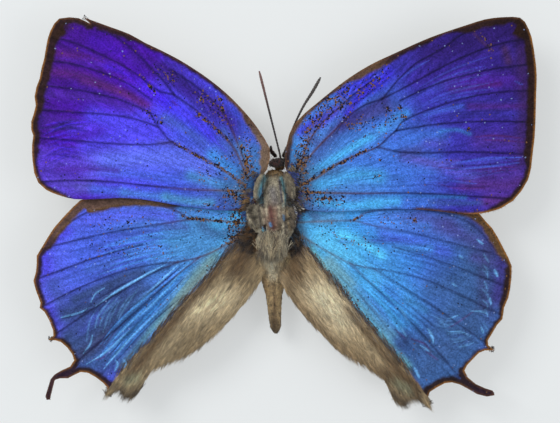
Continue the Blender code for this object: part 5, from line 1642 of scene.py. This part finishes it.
# %% Thorax
MAROON = colour(92, 46, 42)
THORAX_STROKES = [
    (COLLAR, 0.75, 0.9, [(-0.9, 4.3), (0.9, 4.3)]),
    (BARK, 0.13, 0.8, [(-0.8, 3.5), (0.3, 3.7)]),
    (WOOL_PALE, 0.3, 0.6, [(-0.6, 3.1), (0, 2.6)]),
    (colour(124, 120, 124), 0.6, 0.7, [(-0.3, 1.7), (0, 0.4)]),
    (TURQUOISE, 0.28, 0.85, [(-1.2, 3.3), (-1.6, 2.3), (-1.8, 1.2), (-1.6, 0.3)]),
    (SCALE_BLUE, 0.16, 0.7, [(-1.6, 2), (-1.8, 0.9)]),
    (TURQUOISE, 0.22, 0.85, [(0.75, 3.3), (1.05, 2.2), (1.25, 1), (1.15, -0.1)]),
    (WOOL_PALE, 0.11, 0.85, [(0.95, 1.5), (1.05, 0.4), (1.15, -0.7)]),
    (NIGHT_BLUE, 0.12, 0.75, [(0.5, 3), (0.7, 1.6), (0.85, 0.4)]),
    (WOOL_PALE, 0.2, 0.9, [(-1.7, 3.5), (-2.4, 2.4), (-2.5, 1.2), (-2.2, 0.2), (-1.7, -1)]),
    (WOOL_DARK, 0.5, 0.7, [(2, 3), (1.7, 1.2)]),
    (WOOL, 0.17, 0.9, [(1.7, 2.9), (2.2, 1.7), (2, 0.6), (1.7, -0.5)]),
    (BALD, 1, 0.9, [(-0.4, -0.9), (-0.35, -1.6), (-0.3, -2.4)]),
    (MAROON, 0.22, 0.85, [(-0.6, -0.2), (-0.4, -1.5), (-0.2, -2.8)]),
    (WOOL_PALE, 0.14, 0.75, [(-1.1, 0.1), (-1, -1.2)]),
    (WOOL_PALE, 0.12, 0.6, [(0.45, -0.1), (0.5, -1.5)]),
    (SCALE_BLUE, 0.15, 0.95, [(-0.6, -2.2), (-0.5, -2.5)]),
    (SCALE_BLUE, 0.2, 0.95, [(-1.4, -2.7), (-1.1, -3.3)]),
    (SCALE_BLUE, 0.13, 0.9, [(1.05, -1.3), (1.1, -1.8)]),
    (TURQUOISE, 0.25, 0.85, [(-1.5, -3.1), (-0.9, -3.9), (-0.2, -4.2), (0.6, -3.8)]),
    (BARK, 0.2, 0.8, [(-0.3, -3.3), (-0.2, -3.7)]),
    (SCALE_BLUE, 0.13, 0.9, [(0.15, -3.5), (0.3, -3.8)]),
    (WOOL_PALE, 0.15, 0.8, [(-1.8, -2.2), (-1.7, -3.4), (-1.5, -4.4)]),
    (WOOL_PALE, 0.15, 0.8, [(0.9, -2.2), (1, -3.4), (0.9, -4.4)]),
    # Painted shade: dark lines in the gaps between the flaps and the middle of the thorax.
    (HORN_BLACK, 0.15, 0.85, [(-1.95, -0.2), (-1.8, -1.6), (-1.7, -2.8)]),
    (HORN_BLACK, 0.15, 0.85, [(1.3, 0.2), (1.3, -1.4), (1.25, -3.4)]),
    (BARK, 0.13, 0.8, [(-1.35, 3.2), (-1.5, 1.4), (-1.4, 0.2)]),
    (BARK, 0.34, 0.75, [(-3.2, 0), (-2.9, -1.1), (-2.4, -2.2)]),
    (BARK, 0.45, 0.75, [(2.6, 0.1), (2.5, -1.2), (2.1, -2.6)]),
    (WOOL_PALE, 0.16, 0.95, [(-3.8, 0.2), (-3.5, -1), (-2.8, -2.1), (-2.2, -2.8)]),
    (BARK, 0.5, 0.9, [(-4.1, -1.7), (-3.3, -2.9)]),
    (WOOL_DARK, 0.7, 0.85, [(2.1, 0.3), (2.2, -1.2), (2.1, -2.4)]),
    (BEIGE, 0.12, 0.9, [(1.4, -0.5), (1.5, -1.8), (1.8, -3)]),
    # Painted shade: a dark band beside the right flap.
    (HORN_BLACK, 0.4, 0.9, [(3.1, 0.3), (3.1, -1.4), (2.7, -3)]),
]


def thorax_coat(places, faces):
    """The colours of the thorax: stripes and patches above, plain wool below."""
    paint = np.tile(np.array(WOOL) * 0.8, (len(places), 1))
    for stroke in THORAX_STROKES:
        spray(paint, places, *stroke)
    below = np.clip(0.5 - faces[:, 2] * 2.0, 0, 1)[:, None]
    return paint + (np.array(WOOL_DARK) - paint) * below


def thorax_density(places):
    """Few hairs on the bald patch."""
    gap = distance_to(places, smooth_line([(-0.6, -0.9), (-0.45, -2.2), (-0.3, -3.6)]))
    return np.clip(0.2 + (gap - 0.6) / 0.7, 0.2, 1)


MIDDLE = -0.3
FLAP_EDGE = 1.3
FLAP_FRONT = -0.2
FLAP_LENGTH = 2.6
FLAP_LEAN = 0.38
FLAP_STRETCH = (0.25, 0.6)
CRUMPLE_HEIGHT = 0.3
CRUMPLE_SIZE = 0.45
BACK_LEVEL = 3.0

thorax = rounded("thorax", "thorax_barrel", 0.11, 4)
places = places_of(thorax.data)
side = np.sign(places[:, 0] - MIDDLE)
flap = np.clip((np.abs(places[:, 0] - MIDDLE) - FLAP_EDGE) / 0.5, 0, 1)
low = np.clip(FLAP_FRONT - places[:, 1], 0, FLAP_LENGTH) * flap
places[:, 0] -= side * low * FLAP_LEAN
places[:, 1] -= low * np.where(side > 0, FLAP_STRETCH[1], FLAP_STRETCH[0])
wave = ripple(places[:, :2], CRUMPLE_SIZE, 1.7)
places[:, 2] += flap * CRUMPLE_HEIGHT * wave * (places[:, 2] > BACK_LEVEL)
set_places(thorax.data, places)
dented(thorax, 0.35, 0.1, 0.4)


def paint_body(piece, coat):
    """Stores a coat's colours on the skin under the hair."""
    places = places_of(piece.data)
    normals = np.empty(len(places) * 3)
    piece.data.vertices.foreach_get("normal", normals)
    store(piece.data, "paint", coat(places, normals.reshape(-1, 3)))


paint_body(thorax, thorax_coat)
thorax_wool = combed(
    thorax, "thorax_wool", 9000, 31, thorax_coat, (0.2, 0.5), 0.3, 0.25, (0.04, 0.08), backwards,
    thorax_density,
)
thorax_locks = combed(
    thorax, "thorax_locks", 1600, 34, thorax_coat, (0.4, 0.8), 0.4, 0.25, (0.08, 0.15), backwards,
    thorax_density,
)


def lobe_density(places):
    """Only the two flaps."""
    flaps = (np.abs(places[:, 0] - MIDDLE) > 1.6) & (np.abs(places[:, 1] + 1.2) < 1.9)
    return flaps.astype(float)


outwards_backwards = combing(0.0, 0.45, -1.0, 0.1)
lobe_hair = combed(
    thorax, "lobe_hair", 6000, 44, thorax_coat, (0.35, 0.9), 0.3, 0.3, (0.06, 0.12),
    outwards_backwards, lobe_density,
)


def flank_coat(places, faces):
    """Dark beside the wing roots, with rusty and blue hairs among the black ones."""
    rng = np.random.default_rng(35)
    tones = np.array([HORN_BLACK, BARK, EARTH, RUST, DARK_BLUE, AZURE, TURQUOISE])
    return tones[rng.integers(0, len(tones), len(places))]


def flank_density(places):
    """Only the flanks, at the height of the wings."""
    high = (places[:, 2] > 3.4) & (places[:, 2] < 5.5) & (np.abs(places[:, 0]) > 1.3)
    return (high & (places[:, 1] < 3.0)).astype(float)


outwards = combing(0.0, 1.0, -0.35, 0.05)
flank_hair = combed(
    thorax, "flank_hair", 7000, 36, flank_coat, (0.4, 1.0), 0.7, 0.3, (0.05, 0.1), outwards,
    flank_density,
)


def front_half(places):
    """Only the front of the thorax, where the collar lies."""
    return np.clip((places[:, 1] - 3.3) / 0.6, 0, 1)


def collar_coat(places, faces):
    """Ochre brown, greyer towards the wings."""
    grey = np.clip(np.abs(places[:, 0]) - 0.6, 0, 1)[:, None]
    return np.array(COLLAR) + (np.array(WOOL_DARK) - np.array(COLLAR)) * grey


sideways = combing(0.8, 0.0, -0.5, 0.2)
collar_hair = combed(
    thorax, "collar_hair", 5200, 37, collar_coat, (0.35, 0.8), 0.5, 0.3, (0.06, 0.11), sideways,
    front_half,
)


# %% [markdown]
# Where the wings leave the body the hair is matted and dark, its darkness at the hindwing roots
# partly painted shade, and behind the thorax a pale train of it lies over the front of the
# abdomen. Roots scattered along a drawn line, with one aim for each clump of about fourteen
# hairs, give such tufts without combing a whole surface.

# %% Tufts over the wing roots
def root_tuft(name, points, level, count, aim, mess, lengths, tones, seed):
    """Matted hair along a line, lying over the wings or the body."""
    rng = np.random.default_rng(seed)
    line = smooth_line(points)
    flat = line[rng.integers(0, len(line), count)] + rng.normal(0, mess, (count, 2))
    spots = np.column_stack([flat, level + rng.uniform(-0.2, 0.2, count)])
    groups = count // 14
    clump = clumps_of(spots, groups, rng)
    aims = np.array(aim) + rng.normal(0, mess, (groups, 3))[clump] + rng.normal(0, 0.2, (count, 3))
    aims[:, 2] = aims[:, 2] * 0.3
    paint = np.array(tones)[rng.integers(0, len(tones), groups)[clump]]
    paint = np.clip(paint * rng.uniform(0.5, 1.6, (count, 1)), 0, 1)
    length = rng.uniform(lengths[0], lengths[1], count)
    sag = np.column_stack([rng.normal(0, 0.12, (count, 2)), np.full(count, -0.1)])
    # Painted shade: the roots of each tuft are darker than its tips.
    tuft = grow(name, spots, aims, length, rng.uniform(0.04, 0.08, count), sag, paint * 0.7, paint)
    tuft.data.materials.append(body_hair)


# Dark hair at the hindwing roots, partly standing in for the shade there.
DARK_HAIR_AND_SHADE = [HORN_BLACK, EARTH, BARK, EARTH, RUST]
MATTED = [WOOL_DARK, EARTH, DARK_BLUE, AZURE, COLLAR]
SHORT = (0.3, 0.8)
root_tuft("left_hindwing_tuft", [(-2.2, -1.9), (-2.8, -3.1), (-3.4, -4.1), (-3.0, -5.2)], 4.8, 1900,
          (-0.7, -0.6, 0.1), 0.42, (0.4, 1.1), DARK_HAIR_AND_SHADE, 38)
# The right tuft's dark tones also stand partly for shade.
root_tuft("right_hindwing_tuft", [(1.7, -2.7), (2.1, -3.7), (2.5, -4.6), (2.0, -5.4)], 4.8, 1500,
          (0.5, -0.8, 0.1), 0.36, (0.4, 1.1), [HORN_BLACK, BARK, HORN_BLACK, ROOT_GREY, EARTH], 39)
root_tuft("left_forewing_tuft", [(-2.6, 3.4), (-3.1, 1.4), (-3.5, -0.2), (-3.3, -1.4)], 5.45, 700,
          (-0.8, -0.4, 0.1), 0.3, SHORT, MATTED, 40)
root_tuft("right_forewing_tuft", [(2.1, 4.2), (2.3, 2.6), (2.7, 0.8), (2.9, -1.0)], 5.45, 800,
          (0.8, -0.4, 0.1), 0.3, SHORT, [WOOL_DARK, DARK_BLUE, BARK, DULL_BLUE, BEIGE], 43)
rear = places_of(thorax.data)
rear = rear[(rear[:, 1] < -3.4) & (rear[:, 1] > -4.6)]
TRAIN_LEVEL = rear[:, 2].max()
print("top of the thorax above the abdomen:", round(TRAIN_LEVEL, 2), "mm")
TRAIN = [WOOL_PALE, WOOL, WOOL_DARK, SILK_PALE]
root_tuft("rear_train", [(-1.3, -4.3), (-0.8, -4.9), (0.1, -5.0), (0.8, -4.5)], TRAIN_LEVEL - 0.2, 1800,
          (-0.05, -1.0, -0.5), 0.24, (0.8, 2.6), TRAIN, 46)
root_tuft("rear_train_end", [(-1.5, -5.2), (-0.5, -5.7), (0.9, -5.3)], TRAIN_LEVEL - 0.35, 2600,
          (-0.05, -1.0, -0.4), 0.24, (0.8, 2.8), TRAIN, 48)
root_tuft("head_tuft", [(-0.5, 5.0), (0.1, 5.2), (0.7, 5.1)], 4.6, 900,
          (0.0, 0.6, 0.3), 0.2, (0.15, 0.4), [HEAD_BROWN, MAROON, HORN_BLACK], 47)


# %% Skin under the hair
def skin_material(name, rough, blotch):
    """Matted skin in the paint's colour with fine blotches."""
    material, shader, add, place = new_material(name)
    paint = add("ShaderNodeAttribute", attribute_name="paint").outputs["Color"]
    cells = add("ShaderNodeTexVoronoi", {"Vector": place, "Scale": 1000.0 / 0.16})
    chance = add("ShaderNodeSeparateColor", {0: cells.outputs["Color"]})
    cloud = noise(add, place, blotch, 5.0)
    each = counted(add, "MULTIPLY_ADD", chance.outputs[0], 0.6, 0.55)
    soft = counted(add, "MULTIPLY_ADD", cloud.outputs[0], 0.9, 0.5)
    light = counted(add, "MULTIPLY", each, soft)
    wire(shader, {
        "Base Color": shaded(add, paint, light),
        "Roughness": counted(add, "MULTIPLY_ADD", cloud.outputs[0], 0.3, rough - 0.15),
        "Normal": bumped(add, 0.6, 0.05, cloud.outputs[0]),
    })
    return material


body_skin = skin_material("body_skin", 0.7, 0.35)
thorax.data.materials.append(body_skin)
print("thorax faces:", len(thorax.data.polygons))

# %% [markdown]
# The abdomen is a dried, slightly bent cone of eight rings. Pale wool from the thorax covers
# its front like a bib, the hair gets shorter backwards, and a brown line runs down its back.

# %% Abdomen
ABDOMEN_STROKES = [
    (WOOL_PALE, 1.3, 0.8, [(-0.6, -6.2), (-0.5, -8)]),
    (colour(226, 212, 178), 0.5, 0.8, [(-0.6, -6.2), (-0.4, -8.6)]),
    (COLLAR, 0.6, 0.5, [(-1.3, -8.2), (-1.2, -10.6)]),
    (EARTH, 0.32, 0.75, [(-0.05, -11.2), (-0.1, -13), (-0.1, -15.2)]),
    (EARTH, 0.25, 0.6, [(-0.25, -9.6), (-0.1, -10.6)]),
    (colour(72, 54, 30), 0.9, 0.8, [(-0.1, -14.4), (0, -15.6)]),
]


def abdomen_coat(places, faces):
    """The colours of the abdomen, darker along the grooves between its rings."""
    paint = np.tile(colour(190, 162, 116), (len(places), 1))
    for stroke in ABDOMEN_STROKES:
        spray(paint, places, *stroke)
    below = np.clip(0.2 - faces[:, 2], 0, 1)[:, None]
    return paint + (np.array(colour(138, 120, 92)) - paint) * below


SWELL_END = -11.0
SWELL_LENGTH = 5.5
WIDENING = 0.5
SHIFTED_MIDDLE = -0.2
TRAIN_DEPTH = 0.45
RAISED_END = -8.5
RAISED_LENGTH = 3.0

abdomen = rounded("abdomen", "abdomen_rings", 0.08, 2)
places = places_of(abdomen.data)
swell = np.clip((places[:, 1] - SWELL_END) / SWELL_LENGTH, 0, 1)
places[:, 0] = SHIFTED_MIDDLE + (places[:, 0] - MIDDLE) * (1 + WIDENING * swell)
rise = max(0.0, TRAIN_LEVEL - TRAIN_DEPTH - places[places[:, 1] > -6.5, 2].max())
upper = np.clip(places[:, 2] - BACK_LEVEL, 0, 1)
places[:, 2] += rise * upper * np.clip((places[:, 1] - RAISED_END) / RAISED_LENGTH, 0, 1)
set_places(abdomen.data, places)
print("front of the abdomen raised", round(rise, 2), "mm to meet the thorax")
paint_body(abdomen, abdomen_coat)
abdomen.data.materials.append(body_skin)
towards_tip = combing(-0.1, 0.0, -1.0, 0.0)
abdomen_down = combed(
    abdomen, "abdomen_down", 7000, 32, abdomen_coat, (0.3, 0.7), 0.12, 0.14, (0.04, 0.07),
    towards_tip,
)


def front_only(places):
    """Only where the bib lies."""
    return np.clip((places[:, 1] + 9.0) / 2.0, 0, 1)


abdomen_bib = combed(
    abdomen, "abdomen_bib", 4200, 33, abdomen_coat, (0.9, 1.9), 0.18, 0.14, (0.04, 0.07),
    towards_tip, front_only,
)

# %% [markdown]
# Two tegulae cap the wing roots: little shields of long scales, tan outside and turquoise
# inside. They are rounded from their solids and thatched with broad flat hairs.

# %% Tegulae
for side, seed in (("left", 41), ("right", 42)):
    shield = rounded(side + "_tegula", side + "_tegula_shield", 0.08, 3)
    paint_body(shield, thorax_coat)
    shield.data.materials.append(body_skin)
    thatch = combed(
        shield, side + "_tegula_thatch", 1500, seed, thorax_coat, (0.3, 0.7), 0.25, 0.2,
        (0.05, 0.1), backwards,
    )

# %% [markdown]
# The head is small and turned a little. It is dark maroon above, with short bristles, and
# between it and the thorax sits a brown collar.

# %% Head and palps
def head_coat(places, faces):
    """Dark maroon, with a few paler scales behind."""
    paint = np.tile(HEAD_BROWN, (len(places), 1))
    spray(paint, places, COLLAR, 0.35, 0.8, [(-0.2, 4.45), (1.2, 4.45)])
    return paint


upwards_forwards = combing(0.0, 0.0, 1.0, 0.4)
for node, count, seed, lengths in (
    ("head", 2200, 51, (0.3, 0.6)),
    ("left_palp", 500, 52, (0.2, 0.45)),
    ("right_palp", 500, 53, (0.2, 0.45)),
):
    part = rounded(node, node + "_skin", 0.06, 2)
    paint_body(part, head_coat)
    part.data.materials.append(body_skin)
    bristles = combed(
        part, node + "_bristles", count, seed, head_coat, lengths, 0.7, 0.4, (0.05, 0.09),
        upwards_forwards,
    )


# %% [markdown]
# Antennae, legs and proboscis are jointed tubes. Each is drawn as a line whose thickness
# pulses once per joint, given a round section, and turned into a mesh.

# %% Jointed tubes
def along_line(points, step):
    """Places and radii at even steps along a smooth line of (x, y, z, radius)."""
    fine = smooth_line(points, 24)
    gaps = np.linalg.norm(np.diff(fine[:, :3], axis=0), axis=1)
    reach = np.concatenate([[0], np.cumsum(gaps)])
    marks = np.linspace(0, reach[-1], max(2, int(reach[-1] / step)))
    return np.stack([np.interp(marks, reach, fine[:, c]) for c in range(4)], axis=1), marks


def jointed(node, name, points, joint, pinch, step):
    """A tube along a line, pinched at every joint, that stands for its CAD rod."""
    line, marks = along_line(points, step)
    phase = (marks / joint) % 1.0
    radii = line[:, 3] * (1 - pinch * (phase > 0.84))
    curve = bpy.data.curves.new(name, "CURVE")
    curve.dimensions = "3D"
    curve.bevel_depth = MM
    curve.bevel_resolution = 2
    curve.use_fill_caps = True
    spline = curve.splines.new("POLY")
    spline.points.add(len(line) - 1)
    for point, place, radius in zip(spline.points, line, radii):
        point.co = (*(place[:3] * MM), 1.0)
        point.radius = radius
    new_piece(name, curve)
    bpy.ops.object.convert(target="MESH")
    piece = bpy.context.object
    piece.name = name
    bpy.ops.object.mode_set(mode="EDIT")
    bpy.ops.mesh.select_all(action="SELECT")
    bpy.ops.mesh.remove_doubles(threshold=MERGE_GAP)
    bpy.ops.mesh.normals_make_consistent(inside=False)
    bpy.ops.object.mode_set(mode="OBJECT")
    bpy.ops.object.shade_smooth()
    piece.data.materials.clear()
    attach(piece, "root")
    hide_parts(node)
    return piece


horn = skin_material("horn", 0.42, 0.25)
LEFT_ANTENNA = [
    (0.8, 5.1, 4.07, 0.14), (0.62, 6, 4.3, 0.12), (0.03, 8.4, 4.6, 0.12),
    (-0.6, 10.9, 4.9, 0.13), (-1.22, 13.4, 5.1, 0.15), (-1.67, 15.2, 5.2, 0.16),
    (-1.9, 16.1, 5.2, 0.09),
]
RIGHT_ANTENNA = [
    (0.98, 4.75, 3.95, 0.14), (1.2, 5.9, 4.08, 0.12), (1.6, 7.6, 4.22, 0.12),
    (2.17, 9.3, 4.4, 0.12), (3.34, 11.75, 4.8, 0.15), (4.5, 13.6, 5.1, 0.2),
    (5.15, 14.75, 5.2, 0.19), (5.48, 15.35, 5.2, 0.1),
]
for name, points, tip_tone in (
    ("left_antenna", LEFT_ANTENNA, HORN_RED),
    ("right_antenna", RIGHT_ANTENNA, colour(66, 58, 54)),
):
    feeler = jointed(name, name + "_joints", points, 0.34, 0.22, 0.045)
    heights = places_of(feeler.data)[:, 1]
    end = points[-1][1]
    store(
        feeler.data, "paint",
        ramp(heights, [(end - 5.0, HORN_BLACK), (end - 1.5, tip_tone), (end, tip_tone)]),
    )
    feeler.data.materials.append(horn)
print("antennae ready")

# %% Proboscis
COIL_TURNS = 1.75
COIL_MIDDLE = (0.55, 6.4, 2.0)
COIL_OUTER = 0.5
COIL_INNER = 0.16
COIL_THICKNESS = 0.06

x, y, z = COIL_MIDDLE
coil = []
for turn in np.linspace(0, COIL_TURNS, 17):
    reach = COIL_OUTER + (COIL_INNER - COIL_OUTER) * turn / COIL_TURNS
    angle = 2 * math.pi * turn
    coil.append((x, y - reach * math.cos(angle), z + reach * math.sin(angle), COIL_THICKNESS))
proboscis = jointed("proboscis", "proboscis_coil", coil, 0.12, 0.12, 0.03)
store(proboscis.data, "paint", np.tile(colour(86, 52, 28), (len(proboscis.data.vertices), 1)))
proboscis.data.materials.append(horn)

# %% [markdown]
# Six legs are folded under the body. Nothing of them shows from above, so they are drawn as
# those of such butterflies are: a thick thigh, a thin shin and a jointed foot, all scaly.

# %% Legs
LEG_LINES = {
    "foreleg": [
        (1.75, 3.3, 0.5, 0.26), (2.5, 4.2, 1.1, 0.28), (3, 4.1, 1, 0.2),
        (3.2, 3, 0.45, 0.17), (3.05, 1.9, 0.15, 0.13), (2.8, 0.9, 0.15, 0.1),
    ],
    "midleg": [
        (2.3, 0.3, 0.55, 0.28), (3.3, 0.5, 1.4, 0.3), (3.9, 0, 1.2, 0.22),
        (4.2, -1.4, 0.45, 0.18), (4.1, -2.6, 0.15, 0.13), (3.8, -3.7, 0.15, 0.1),
    ],
    "hindleg": [
        (2.25, -2.6, 0.6, 0.28), (3.1, -3.4, 1.4, 0.3), (3.5, -4.6, 1.2, 0.22),
        (3.5, -6.1, 0.45, 0.18), (3.1, -7.4, 0.15, 0.13), (2.6, -8.4, 0.15, 0.1),
    ],
}
LEG_BROWN = colour(112, 92, 70)


def leg_coat(places, faces):
    """Brown legs with darker feet."""
    share = np.clip((0.6 - places[:, 2]) / 0.5, 0, 1)[:, None]
    return np.array(LEG_BROWN) + (np.array(HORN_BLACK) - np.array(LEG_BROWN)) * share * 0.6


along_leg = combing(0.0, 0.0, -1.0, -0.3)
for side, mirror in (("left", -1.0), ("right", 1.0)):
    for place, (kind, points) in enumerate(LEG_LINES.items()):
        line = [(mirror * x, y, z, radius) for x, y, z, radius in points]
        leg = jointed(side + "_" + kind, side + "_" + kind + "_joints", line, 0.9, 0.25, 0.07)
        paint_body(leg, leg_coat)
        leg.data.materials.append(body_skin)
        scales = combed(
            leg, side + "_" + kind + "_scales", 700, 60 + place, leg_coat, (0.15, 0.3), 0.12, 0.1,
            (0.04, 0.07), along_leg,
        )
print("legs ready")

# %% [markdown]
# The compound eyes are smooth to the naked eye, but each is a dome of hexagonal lenses. The
# domes are rounded from their solids, and the lenses are a fine cell pattern in the shader.

# %% Eyes
LENS_SIZE = 0.05

eye_gloss, shader, add, place = new_material("eye_gloss")
lenses = add("ShaderNodeTexVoronoi", {"Vector": place, "Scale": 1000.0 / LENS_SIZE, "Randomness": 0.2})
cloud = add("ShaderNodeTexNoise", {"Vector": place, "Scale": 1000.0 / 0.4})
wire(shader, {
    "Base Color": mixed(add, cloud.outputs[0], colour(30, 16, 12), colour(72, 40, 30)),
    "Roughness": 0.22,
    "Coat Weight": 0.4,
    "Normal": bumped(add, 0.4, 0.02, lenses.outputs["Distance"]),
})
for side in ("left", "right"):
    eye = rounded(side + "_eye", side + "_eye_dome", 0.05, 6)
    eye.data.materials.append(eye_gloss)
print("eyes ready")

# %% [markdown]
# The last cell prints the size of the CAD box in millimetres, and hands the scene over.

# %% Sizes and finish
print("CAD box, mm:", [round(c / MM, 2) for corner in CAD_BOX for c in corner])
